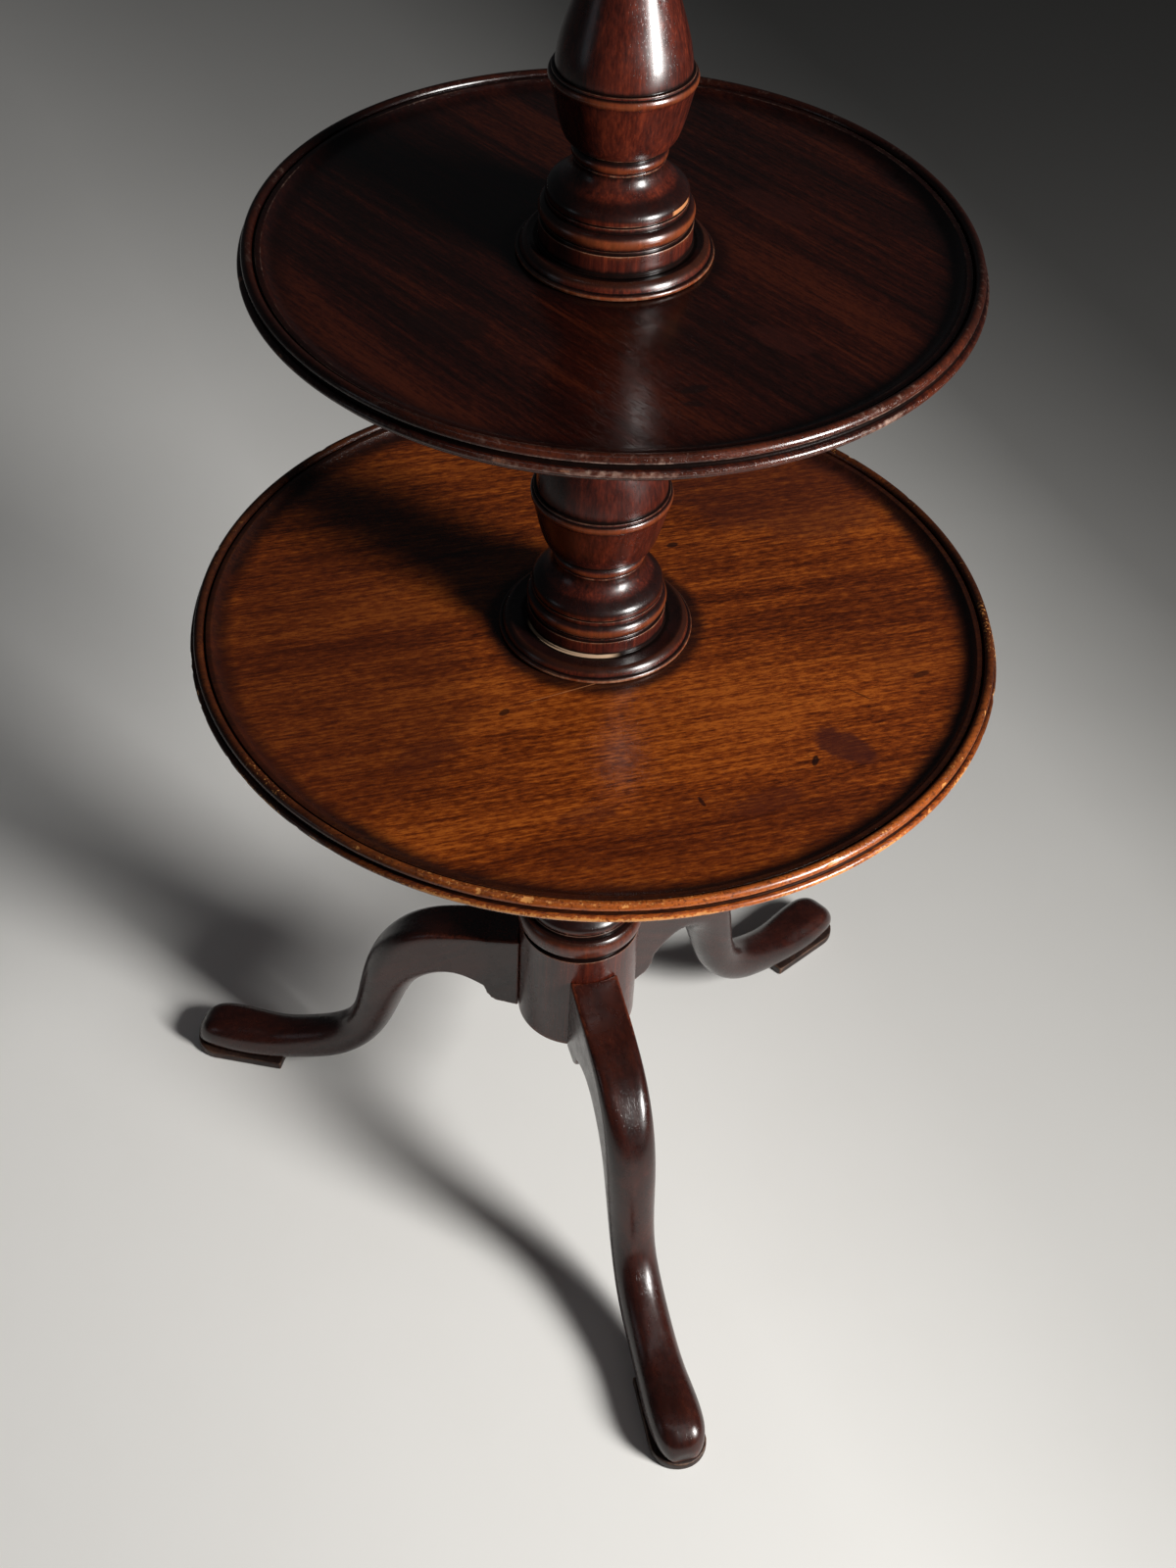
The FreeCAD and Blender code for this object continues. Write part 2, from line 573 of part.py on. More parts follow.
def make_foot_pad():
    """Slab under the toe: blunt inner end, sides that spread towards the toe, round outer end."""
    tip = TOE_REACH + PAD_MARGIN
    inner_end = tip - PAD_LENGTH
    outer_half = PAD_OUTER_WIDTH / 2
    inner_half = PAD_INNER_WIDTH / 2
    near = FreeCAD.Vector(inner_end, -inner_half, 0)
    far = FreeCAD.Vector(tip - outer_half, -outer_half, 0)
    far_other = FreeCAD.Vector(tip - outer_half, outer_half, 0)
    near_other = FreeCAD.Vector(inner_end, inner_half, 0)
    outline = [
        Part.makeLine(near, far),
        Part.Arc(far, FreeCAD.Vector(tip, 0, 0), far_other).toShape(),
        Part.makeLine(far_other, near_other),
        Part.makeLine(near_other, near),
    ]
    slab = Part.Face(Part.Wire(outline)).extrude(UP * PAD_THICKNESS)
    lower_edges = [edge for edge in slab.Edges if edge.BoundBox.ZMax < PAD_THICKNESS / 2]
    return slab.makeChamfer(PAD_CHAMFER, lower_edges)


# ------------------------------------------------------------ iron brace
def brace_screw(out, clearance=0.0):
    return lift(wood_screw(BRACE_SCREW_LENGTH, clearance), out, 0, BARREL_BOTTOM - BRACE_THICKNESS)


def brace_screws(clearance=0.0):
    """One screw near the end of each arm and one on the hub midway between each two arms."""
    screws = []
    for angle in LEG_ANGLES.values():
        screws.append(turn_to(brace_screw(BRACE_OUTER_SCREW, clearance), angle))
        screws.append(turn_to(brace_screw(BRACE_HUB_SCREW, clearance), angle + HALF_TURN_BETWEEN_LEGS))
    return screws


def make_leg_brace():
    low = BARREL_BOTTOM - BRACE_THICKNESS
    half = BRACE_ARM_WIDTH / 2
    round_centre = BRACE_ARM_END - half
    bar = Part.makeBox(round_centre, BRACE_ARM_WIDTH, BRACE_THICKNESS, FreeCAD.Vector(0, -half, low))
    arm = bar.fuse(cylinder(half, low, BARREL_BOTTOM, round_centre))
    hub = cylinder(BRACE_HUB_RADIUS, low, BARREL_BOTTOM)
    plate = hub.fuse([turn_to(arm, angle) for angle in LEG_ANGLES.values()]).removeSplitter()
    return plate.cut(brace_screws(GLUE_LINE))


def make_pieces():
    middle_socket = socket(collar_under(MIDDLE_RIM))
    pieces = {
        "lower_pillar": make_lower_pillar(),
        "middle_column": make_upper_section(MIDDLE_SECTION, BOTTOM_RIM, MIDDLE_RIM, middle_socket),
        "upper_column": make_upper_section(UPPER_SECTION, MIDDLE_RIM, TOP_RIM, top_journal()),
        "leg_brace": make_leg_brace(),
        "brace_screws": Part.makeCompound(brace_screws()),
    }
    leg = make_leg()
    pad = make_foot_pad()
    for side, angle in LEG_ANGLES.items():
        pieces[side + "_leg"] = turn_to(leg, angle)
        pieces[side + "_foot_pad"] = turn_to(pad, angle)
    tiers = (
        ("bottom", BOTTOM_TRAY_RADIUS, BOTTOM_RIM, BOTTOM_RIM, LOWER_SECTION),
        ("middle", MIDDLE_TRAY_RADIUS, MIDDLE_RIM, MIDDLE_RIM, MIDDLE_SECTION),
        ("top", TOP_TRAY_RADIUS, TOP_RIM, TOP_JOURNAL_END + END_PLAY, UPPER_SECTION),
    )
    for tier, radius, rim, bore_top, section_below in tiers:
        pieces[tier + "_tray"] = make_tray(radius, rim, bore_top)
        pieces[tier + "_tray_boss"] = make_boss(rim)
        pieces[tier + "_boss_screws"] = make_boss_screws(rim)
        pieces[tier + "_washer"] = make_washer(rim, section_below)
    return pieces


os.makedirs("parts", exist_ok=True)
for node, shape in make_pieces().items():
    shape.exportStep("parts/" + node + ".step")
    print(node, shape.isValid(), len(shape.Solids), round(shape.Volume / 1000, 1), "cm3")
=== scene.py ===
# %% [markdown]
# # A three-tier dumb-waiter
# Three round dished trays turn on one baluster column, which stands on three cabriole legs. The packed
# model is the frame: it fixes every size and says which pieces turn. This file adds the worn edges, the
# grain, the polish and two centuries of wax and dirt. The frame comes first. The dressed table has to
# stay inside it.

# %% Load the frame
import math
import random

import bpy
import numpy as np
from mathutils import Matrix, Vector


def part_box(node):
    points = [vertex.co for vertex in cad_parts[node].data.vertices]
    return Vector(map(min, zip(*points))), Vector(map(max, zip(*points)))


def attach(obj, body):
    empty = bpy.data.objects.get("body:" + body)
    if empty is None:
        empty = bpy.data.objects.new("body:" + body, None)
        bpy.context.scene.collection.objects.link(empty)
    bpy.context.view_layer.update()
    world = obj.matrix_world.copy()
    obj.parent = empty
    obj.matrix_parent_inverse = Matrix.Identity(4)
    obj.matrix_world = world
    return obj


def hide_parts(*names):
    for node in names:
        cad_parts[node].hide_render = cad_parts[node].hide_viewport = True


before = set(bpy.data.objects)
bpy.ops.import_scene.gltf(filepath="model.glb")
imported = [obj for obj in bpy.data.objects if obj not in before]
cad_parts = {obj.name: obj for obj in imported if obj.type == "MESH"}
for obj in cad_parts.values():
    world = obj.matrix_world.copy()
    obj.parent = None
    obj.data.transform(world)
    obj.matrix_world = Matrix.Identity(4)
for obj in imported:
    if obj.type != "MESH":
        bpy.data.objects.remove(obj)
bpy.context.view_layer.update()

MM = 0.001


# %% [markdown]
# ## The camera
# A photographer stands in front of the table, a little to its left, and looks down over the two lower
# trays. A camera could be aimed with a tracking constraint, but three plain turns say more: how far it
# swings round the column, how far it tilts down, and how far the photographer's hand lets it roll.

# %% Camera
CAMERA_DISTANCE = 1.21625            # metres from the column's axis
CAMERA_HEIGHT = 1.61448              # metres over the floor
CAMERA_SWING = math.radians(17.5)    # to the left of the front
CAMERA_AIM = 0.0008                  # radians past the column's axis
CAMERA_TILT = 0.7725                 # radians down from level
CAMERA_ROLL = 0.0524                 # radians
LENS, FILM_WIDTH = 50.2, 36.0        # millimetres

camera = bpy.data.objects.new("camera", bpy.data.cameras.new("camera"))
bpy.context.scene.collection.objects.link(camera)
camera.data.lens = LENS
camera.data.sensor_width = FILM_WIDTH
camera.data.sensor_fit = "AUTO"
swing = Matrix.Rotation(-CAMERA_SWING - CAMERA_AIM, 4, "Z")
tilt = Matrix.Rotation(math.pi / 2 - CAMERA_TILT, 4, "X")
roll = Matrix.Rotation(CAMERA_ROLL, 4, "Z")
aside, back = math.sin(CAMERA_SWING) * CAMERA_DISTANCE, math.cos(CAMERA_SWING) * CAMERA_DISTANCE
place = Matrix.Translation((-aside, -back, CAMERA_HEIGHT))
camera.matrix_world = place @ swing @ tilt @ roll
bpy.context.scene.camera = camera
print("Camera at", [round(value, 3) for value in camera.matrix_world.translation])

# %% [markdown]
# ## A recipe book for finishes
# Every finish below is a small net of shader nodes. Wiring nodes by hand takes many lines, so one helper
# keeps the net and offers a word for each kind of node: a noise for figure in wood, a ramp from a number to
# a colour, a mix of two colours, a sum, a limit. A recipe then reads like a list of what the polisher did.

# %% Helper that wires a finish
def srgb(red, green, blue):
    """Linear colour of a shade that is written as it looks on a screen, 0 to 255."""
    def channel(value):
        value /= 255.0
        return value / 12.92 if value <= 0.04045 else ((value + 0.055) / 1.055) ** 2.4
    return (channel(red), channel(green), channel(blue), 1.0)


MIX_AMOUNT, MIX_ONE, MIX_OTHER, MIX_COLOUR = 0, 6, 7, 2    # the Mix node's sockets for colours


class Finish:
    """The node net of one material. Each word adds a node and returns its output."""

    def __init__(self, name, **fixed):
        self.material = bpy.data.materials.new(name)
        self.material.use_nodes = True
        self.tree = self.material.node_tree
        self.shader = self.tree.nodes["Principled BSDF"]
        for socket, value in fixed.items():
            self.shader.inputs[socket.replace("_", " ")].default_value = value

    def feed(self, socket, value):
        """Link the socket to another node's output, or set it to a plain value."""
        if isinstance(value, bpy.types.NodeSocket):
            self.tree.links.new(value, socket)
        else:
            socket.default_value = value

    def node(self, kind, inputs=(), output=0, **settings):
        """Any kind of node, with its inputs by name or number."""
        made = self.tree.nodes.new("ShaderNode" + kind)
        for key, value in settings.items():
            setattr(made, key, value)
        for key, value in dict(inputs).items():
            self.feed(made.inputs[key], value)
        return made.outputs[output]

    def attribute(self, name, output=2):
        """Number that the mesh carries at its corners. Output 1 gives it as a vector."""
        return self.node("Attribute", output=output, attribute_name=name)

    def here(self):
        """Place in the piece's own frame, in metres."""
        return self.node("TexCoord", output="Object")

    def turned(self, place, turn):
        """The place after a turn by three angles in radians."""
        return self.node("Mapping", {"Vector": place, "Rotation": turn})

    def stretched(self, place, scale, shift=(0, 0, 0)):
        """The place after scaling along each axis, and a shift."""
        scaled = self.node("VectorMath", {0: place, 1: scale}, operation="MULTIPLY")
        return self.node("VectorMath", {0: scaled, 1: shift}, operation="ADD")

    def measure(self, operation, place, other=(0.0, 0.0, 0.0)):
        """Number that DOT_PRODUCT, DISTANCE or LENGTH makes of a place."""
        return self.node("VectorMath", {0: place, 1: other}, output="Value", operation=operation)

    def noise(self, place, scale=1.0, detail=3.0, roughness=0.55, distortion=0.0):
        """Cloudy number about 0.5."""
        inputs = {"Vector": place, "Scale": scale, "Detail": detail, "Roughness": roughness}
        return self.node("TexNoise", {**inputs, "Distortion": distortion})

    def specks(self, place, scale=1.0):
        """Distance from the nearest of many scattered points."""
        return self.node("TexVoronoi", {"Vector": place, "Scale": scale})

    def sum(self, one, other):
        return self.node("Math", {0: one, 1: other}, operation="ADD")

    def less(self, one, other):
        return self.node("Math", {0: one, 1: other}, operation="SUBTRACT")

    def times(self, one, other):
        return self.node("Math", {0: one, 1: other}, operation="MULTIPLY")

    def larger(self, one, other):
        return self.node("Math", {0: one, 1: other}, operation="MAXIMUM")

    def between(self, value, low, high, start=0.0, end=1.0):
        """Soft step: start below low, end above high."""
        inputs = {"Value": value, "From Min": low, "From Max": high, "To Min": start, "To Max": end}
        return self.node("MapRange", inputs, interpolation_type="SMOOTHSTEP")

    def ramp(self, value, stops):
        """Colour at a value from 0 to 1, between stops of (position, colour)."""
        made = self.tree.nodes.new("ShaderNodeValToRGB")
        points = made.color_ramp.elements
        while len(points) < len(stops):
            points.new(0.5)    # its place is set below
        for point, (position, colour) in zip(points, stops):
            point.position = position
            point.color = colour
        self.feed(made.inputs["Fac"], value)
        return made.outputs["Color"]

    def mix(self, amount, one, other, how="MIX"):
        """Colour that goes from one to the other as the amount goes from 0 to 1."""
        inputs = {MIX_AMOUNT: amount, MIX_ONE: one, MIX_OTHER: other}
        return self.node("Mix", inputs, MIX_COLOUR, data_type="RGBA", blend_type=how)

    def relief(self, height, depth, strength=1.0, under=None):
        """Small shading relief, laid over another one where under is given."""
        inputs = {"Height": height, "Distance": depth, "Strength": strength}
        if under is not None:
            inputs["Normal"] = under
        return self.node("Bump", inputs)

    def done(self, colour, roughness, normal=None):
        """Feed the shader and hand over the material."""
        self.feed(self.shader.inputs["Base Color"], colour)
        self.feed(self.shader.inputs["Roughness"], roughness)
        if normal is not None:
            self.feed(self.shader.inputs["Normal"], normal)
        print("Finish", self.material.name, "has", len(self.tree.nodes), "nodes")
        return self.material


# %% [markdown]
# ## The floor
# The table stands on a painted floor, which is pale near it and falls off into the dark of the room. A lamp
# could make that fall, but it would then be too bright or too dim for the wood. So the fall of light is
# painted into the floor: one ramp of painted light and shade runs across the room, a second evens out the
# pool of light that the window throws, and a soft grey spot of painted shade hides the window's bright
# spot on the floor right under it. Faint brush marks give the paint a surface.

# %% Floor
FLOOR_SIZE = 9.0
floor_mesh = bpy.data.meshes.new("floor")
half = FLOOR_SIZE / 2
floor_corners = [(-half, -half, 0), (half, -half, 0), (half, half, 0), (-half, half, 0)]
floor_mesh.from_pydata(floor_corners, [], [(0, 1, 2, 3)])
floor = bpy.data.objects.new("floor", floor_mesh)
bpy.context.scene.collection.objects.link(floor)
print("Floor is", FLOOR_SIZE, "m wide")

# %% Paint of the floor
ROOM_AXIS = (0.985, 0.174, 0.0)      # level direction from the lit side of the room to the dark one
ROOM_START, ROOM_END = -0.8, 2.4     # metres along it, from the table, that the room's shades span
ROOM_SHADES = ((0.07, 0.98), (0.17, 1.0), (0.27, 0.98), (0.36, 0.73), (0.455, 0.57), (0.55, 0.23),
               (0.65, 0.125), (0.84, 0.13))
ROOM_TINT = (1.0, 0.99, 0.96)
CLOUD_REACH = 0.08                   # metres that the shades wander
POOL_MIDDLE, POOL_REACH = (0.5, -0.6, 0.0), 3.2
POOL_SHADES = ((0.056, 0.62), (0.24, 0.81), (0.42, 0.97), (0.60, 0.94), (0.78, 0.78), (0.96, 0.72))
# Painted shade under the window, which hides the bright spot of its light on the floor.
SILL, SILL_REACH = (1.09, -1.30, 0.0), 0.85
SILL_SHADE, SILL_STRENGTH = srgb(112, 111, 109), 0.65
BRUSH_SHADE = srgb(236, 234, 230)


def shades(stops, tint=(1.0, 1.0, 1.0)):
    """Ramp stops from pairs of (position, brightness)."""
    return [(at, (*(part * shade for part in tint), 1.0)) for at, shade in stops]


paint = Finish("floor_paint", Specular_IOR_Level=0.15)
spot = paint.here()
wander = paint.times(paint.less(paint.noise(spot, 1.6, 3.0), 0.5), CLOUD_REACH)
along_room = paint.sum(paint.measure("DOT_PRODUCT", spot, ROOM_AXIS), wander)
from_pool = paint.measure("DISTANCE", spot, POOL_MIDDLE)
across_room = paint.ramp(
    paint.node("MapRange", {"Value": along_room, "From Min": ROOM_START, "From Max": ROOM_END}),
    shades(ROOM_SHADES, ROOM_TINT))
round_lamp = paint.ramp(
    paint.node("MapRange", {"Value": from_pool, "From Max": POOL_REACH}), shades(POOL_SHADES))
pale = paint.mix(1.0, across_room, round_lamp, "MULTIPLY")
under_sill = paint.between(paint.measure("DISTANCE", spot, SILL), 0.0, SILL_REACH, SILL_STRENGTH, 0.0)
pale = paint.mix(under_sill, pale, SILL_SHADE)
brush = paint.noise(paint.stretched(spot, (16.0, 12.0, 1.0)), 1.0, 4.0, 0.6)
brushed = paint.mix(1.0, pale, BRUSH_SHADE, "MULTIPLY")
floor_mesh.materials.append(paint.done(
    paint.mix(paint.between(brush, 0.40, 0.70, 0.0, 0.05), pale, brushed),
    paint.between(brush, 0.3, 0.7, 0.60, 0.70),
    paint.relief(brush, 0.0004, 0.08)))

# %% [markdown]
# ## The lamps
# One narrow window stands close by on the right, not much higher than the table. It throws the trays'
# shadows far to the left, grazes the middle tray, which stays dark, and shows as the white streak on the
# vases. A sun lamp could throw the shadows, but polished wood mirrors its lamps, so their size and place
# matter, and each is a rectangle. A weak strip overhead draws fine lines on the mouldings. A cool lamp is a
# far window on the left.

# %% Lamps
TABLE_MIDDLE = (0.0, 0.0, 0.65)


def lamp(name, azimuth, elevation, distance, size, watts, aim=TABLE_MIDDLE, colour=(1.0, 1.0, 1.0)):
    """Rectangular lamp that looks at the aim from a bearing round it and a height above it, in degrees."""
    turn, rise = math.radians(azimuth), math.radians(elevation)
    direction = Vector((math.cos(turn) * math.cos(rise), math.sin(turn) * math.cos(rise), math.sin(rise)))
    light = bpy.data.lights.new(name, "AREA")
    light.shape = "RECTANGLE"
    light.size, light.size_y = size
    light.energy = watts
    light.color = colour
    holder = bpy.data.objects.new(name, light)
    holder.location = Vector(aim) + direction * distance
    holder.rotation_euler = direction.to_track_quat("Z", "Y").to_euler()
    bpy.context.scene.collection.objects.link(holder)
    print("Lamp", name, "at", [round(value, 2) for value in holder.location], watts, "W")


lamp("window_lamp", -50, 0, 1.7, (0.45, 0.9), 82.0, aim=(0.0, 0.0, 1.3), colour=(1.0, 0.985, 0.96))
lamp("ceiling_strip", -107, 74, 2.6, (2.6, 0.25), 2.6, aim=(0.0, 0.0, 0.6), colour=(0.97, 0.98, 1.0))
lamp("left_window", -176, 14, 2.5, (0.6, 0.9), 0.8, colour=(0.80, 0.90, 1.0))

# %% [markdown]
# ## The room beyond
# A world of faint, cool light fills the shadows a little, as the walls of a room do. Beyond the floor the
# camera sees a plain grey wall. A real wall would throw light back on the table, so this one is only a
# colour that the world shows to camera rays, and every other ray meets the faint light.

# %% World
world = bpy.data.worlds.new("room")
bpy.context.scene.world = world
world.use_nodes = True
sky_nodes, sky_links = world.node_tree.nodes, world.node_tree.links
faint_sky = sky_nodes["Background"]
faint_sky.inputs["Color"].default_value = (0.93, 0.95, 1.0, 1.0)
faint_sky.inputs["Strength"].default_value = 0.03
backdrop = sky_nodes.new("ShaderNodeBackground")
backdrop.inputs["Color"].default_value = (0.30, 0.30, 0.29, 1.0)
ray = sky_nodes.new("ShaderNodeLightPath")
seen_or_not = sky_nodes.new("ShaderNodeMixShader")
sky_links.new(ray.outputs["Is Camera Ray"], seen_or_not.inputs[0])
sky_links.new(faint_sky.outputs[0], seen_or_not.inputs[1])
sky_links.new(backdrop.outputs[0], seen_or_not.inputs[2])
sky_links.new(seen_or_not.outputs[0], sky_nodes["World Output"].inputs["Surface"])
bpy.context.scene.view_settings.view_transform = "Standard"
print("World", world.name, "has", len(sky_nodes), "nodes")

# %% [markdown]
# ## Outlines for the lathe
# Trays and column were all turned, so each is an outline that goes round the axis. An outline is a list of
# moves in millimetres, as a turner would mark a template: a straight cut, an arc through one place to the
# next, or a free curve with two poles. Short words name the classical mouldings, so that a profile reads as
# a list of them.

# %% Moves of an outline
def to(*places):
    """Straight cuts from place to place. A place is (radius, height)."""
    return [(place,) for place in places]


def arc_about(centre, start, end):
    """The shorter arc round a centre."""
    radius = math.dist(centre, start)
    across, along = start[0] + end[0] - 2 * centre[0], start[1] + end[1] - 2 * centre[1]
    reach = radius / math.hypot(across, along)
    return [((centre[0] + reach * across, centre[1] + reach * along), end)]


def leaves_upright(start, end):
    """Arc that sets off straight up or down."""
    across, along = end[0] - start[0], end[1] - start[1]
    return arc_about((start[0] + (across ** 2 + along ** 2) / (2 * across), start[1]), start, end)


def leaves_level(start, end):
    """Arc that sets off level."""
    across, along = end[0] - start[0], end[1] - start[1]
    return arc_about((start[0], start[1] + (across ** 2 + along ** 2) / (2 * along)), start, end)


def arrives_level(start, end):
    """Arc that comes in level."""
    across, along = end[0] - start[0], start[1] - end[1]
    return arc_about((end[0], end[1] + (across ** 2 + along ** 2) / (2 * along)), start, end)


def bead(inner, outer, low, high):
    """Half-round ring, from a low to a high edge."""
    return to((inner, low)) + [((outer, (low + high) / 2), (inner, high))]


def fillet(radius, low, high):
    """Upright flat band."""
    return to((radius, low), (radius, high))


# %% [markdown]
# Moves are short to write, but a mesh wants places. The outline is walked in steps of a sixth of a
# millimetre. A straight cut and a free curve have easy formulas. An arc through three places first needs
# its centre, which is equally far from all three.

# %% Walk along an outline
STEP = 0.16              # millimetres
SHORTEST_MOVE = 1e-6     # a shorter one would only repeat its starting place


def walk(start, moves):
    """Places every STEP along the moves."""
    here = np.array(start, float)
    pieces = [here[None, :]]
    for move in moves:
        ends = [np.array(place, float) for place in move]
        if len(ends) == 1:
            poles = (here, ends[0])
            length = math.dist(*poles)
        else:
            length = sum(math.dist(a, b) for a, b in zip([here] + ends, ends))
        count = max(1, int(round(length / STEP)))
        t = (np.arange(1, count + 1) / count)[:, None]
        if len(ends) == 1:
            run = here + (ends[0] - here) * t
        elif len(ends) == 2:
            run = along_arc(here, ends[0], ends[1], t)
        else:
            a, b, c = ends
            run = (1 - t) ** 3 * here + 3 * (1 - t) ** 2 * t * a + 3 * (1 - t) * t ** 2 * b + t ** 3 * c
        if length > SHORTEST_MOVE:
            pieces.append(run)
        here = ends[-1]
    return np.concatenate(pieces)


def along_arc(start, middle, end, t):
    """Places at the shares t of the arc from start through middle to end."""
    (ax, ay), (bx, by), (cx, cy) = start, middle, end
    d = 2 * (ax * (by - cy) + bx * (cy - ay) + cx * (ay - by))
    a2, b2, c2 = ax ** 2 + ay ** 2, bx ** 2 + by ** 2, cx ** 2 + cy ** 2
    ux = (a2 * (by - cy) + b2 * (cy - ay) + c2 * (ay - by)) / d
    uy = (a2 * (cx - bx) + b2 * (ax - cx) + c2 * (bx - ax)) / d
    first = math.atan2(ay - uy, ax - ux)
    swing_to_middle = (math.atan2(by - uy, bx - ux) - first + math.pi) % (2 * math.pi) - math.pi
    sweep = (math.atan2(cy - uy, cx - ux) - first) % (2 * math.pi)
    if swing_to_middle < 0:
        sweep -= 2 * math.pi
    angles = first + sweep * t[:, 0]
    radius = math.hypot(ax - ux, ay - uy)
    return np.stack([ux + radius * np.cos(angles), uy + radius * np.sin(angles)], 1)


# %% [markdown]
# A computer's outline has perfect corners, and a worn table has none. A bevel could round them, but each by
# the same amount. Averaging the outline over a short stretch rounds each corner as years of polishing do.
# Averaging over longer stretches tells more: where the outline stands proud of its average, hands and
# dusters have rubbed the polish thin, and on some pieces a pale edge colour paints a highlight there too;
# where it lies inside, wax and dirt have built up black.

# %% Soften and read an outline
CORNER_SOFTNESS = 0.32   # millimetres, as the two reaches below
EDGE_REACH = 1.0
CROWN_REACH = 4.2
ROW_WEIGHTS = (1.0, 1.0, 0.6, 0.25)    # how much a miss in radius, height, edge and crown counts


def averaged(path, reach, closed):
    """Path averaged over a bell-shaped stretch that reaches so far each way."""
    half = max(1, int(3 * reach / STEP))
    weights = np.exp(-0.5 * (np.arange(-half, half + 1) * STEP / reach) ** 2)
    weights /= weights.sum()
    beyond_ends = {"mode": "wrap"} if closed else {"mode": "reflect", "reflect_type": "odd"}
    padded = np.pad(path, ((half, half), (0, 0)), **beyond_ends)
    return np.stack([np.convolve(padded[:, i], weights, "valid") for i in (0, 1)], 1)


def outward(path):
    """Direction that looks straight out of the wood, for each place of the path."""
    ahead = np.gradient(path, axis=0)
    ahead /= np.maximum(np.linalg.norm(ahead, axis=1, keepdims=True), 1e-9)
    return np.stack([ahead[:, 1], -ahead[:, 0]], 1)


def thinned(rows, tolerance):
    """Indices of the rows that a straight line between their neighbours would miss."""
    keep = np.zeros(len(rows), bool)
    keep[[0, -1]] = True
    spans = [(0, len(rows) - 1)]
    while spans:
        a, b = spans.pop()
        if b - a < 2:
            continue
        chord = rows[b] - rows[a]
        between = rows[a + 1:b] - rows[a]
        share = np.clip(between @ chord / max(chord @ chord, 1e-12), 0, 1)
        off = np.linalg.norm(between - share[:, None] * chord, axis=1)
        worst = int(off.argmax())
        if off[worst] > tolerance:
            keep[a + 1 + worst] = True
            spans += [(a, a + 1 + worst), (a + 1 + worst, b)]
    return np.flatnonzero(keep)


def template(start, moves, closed=False, longest=5.0, tolerance=0.035):
    """Rows of (radius, height, edge, crown) for the lathe: rounded corners, and where they stand proud."""
    path = walk(start, moves)
    if closed:
        path = path[:-1]
    path = averaged(path, CORNER_SOFTNESS, closed)
    normal = outward(path)
    edge = ((path - averaged(path, EDGE_REACH, closed)) * normal).sum(1)
    crown = ((path - averaged(path, CROWN_REACH, closed)) * normal).sum(1)
    rows = np.column_stack([path, edge, crown])
    kept = thinned(rows * ROW_WEIGHTS, tolerance)
    filled = [kept[0]]
    for following in kept[1:]:
        gap = (following - filled[-1]) * STEP
        extra = int(gap // longest)
        filled += [int(filled[-1] + (following - filled[-1]) * (i + 1) / (extra + 1)) for i in range(extra)]
        filled.append(following)
    rows = rows[filled]
    rows[:, 0] = np.maximum(rows[:, 0], 0.0)
    return rows


# %% [markdown]
# ## Pieces and the lathe
# Every corner of a mesh can carry numbers, which a finish reads later. Here they say how much the corner
# stands proud as an edge and as a crown, how chipped it is, how much dirt and painted shade darken it, and
# where it lay in the plank it was cut from, so that one grain recipe serves boards, turnings and legs alike.
# One function makes each piece.

# %% A piece and its numbers
def new_piece(name, corners, faces, attributes, finish, body, slot, *nodes):
    """Mesh object with smooth shading and its numbers, riding on its body in place of its CAD nodes."""
    mesh = bpy.data.meshes.new(name)
    mesh.from_pydata(corners.tolist(), [], faces)
    mesh.update()
    mesh.shade_smooth()
    for key, values in attributes.items():
        kind, field = ("FLOAT_VECTOR", "vector") if values.ndim == 2 else ("FLOAT", "value")
        mesh.attributes.new(key, kind, "POINT").data.foreach_set(field, values.astype(np.float32).ravel())
    piece = bpy.data.objects.new(name, mesh)
    bpy.context.scene.collection.objects.link(piece)
    mesh.materials.append(finish)
    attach(piece, body)
    if nodes:
        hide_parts(*nodes)
    print("Piece", name, "has", len(mesh.polygons), "faces")
    return piece


# %% [markdown]
# The lathe turns the rows of an outline into rings of corners. Blender's Screw modifier could spin a curve
# too, but then no number could travel with each ring, and no chip could be cut out of one side.

# %% The lathe
POLE_RADIUS = 0.05       # millimetres: a row that is nearer to the axis becomes a single corner on it


def ring_faces(rows, segments, closed, first_is_pole, last_is_pole):
    """Faces between the rings, with fans where the outline starts or ends on the axis."""
    faces = []
    offset = 1 if first_is_pole else 0
    rings = rows - offset - (1 if last_is_pole else 0)
    i = np.arange(segments)
    j = (i + 1) % segments
    for ring in range(rings if closed else rings - 1):
        low = offset + ring * segments
        high = offset + ((ring + 1) % rings) * segments
        faces += np.stack([low + i, low + j, high + j, high + i], 1).tolist()
    if first_is_pole:
        faces += np.stack([np.zeros(segments, int), offset + j, offset + i], 1).tolist()
    if last_is_pole:
        last = offset + (rings - 1) * segments
        faces += np.stack([last + i, last + j, np.full(segments, offset + rings * segments)], 1).tolist()
    return faces


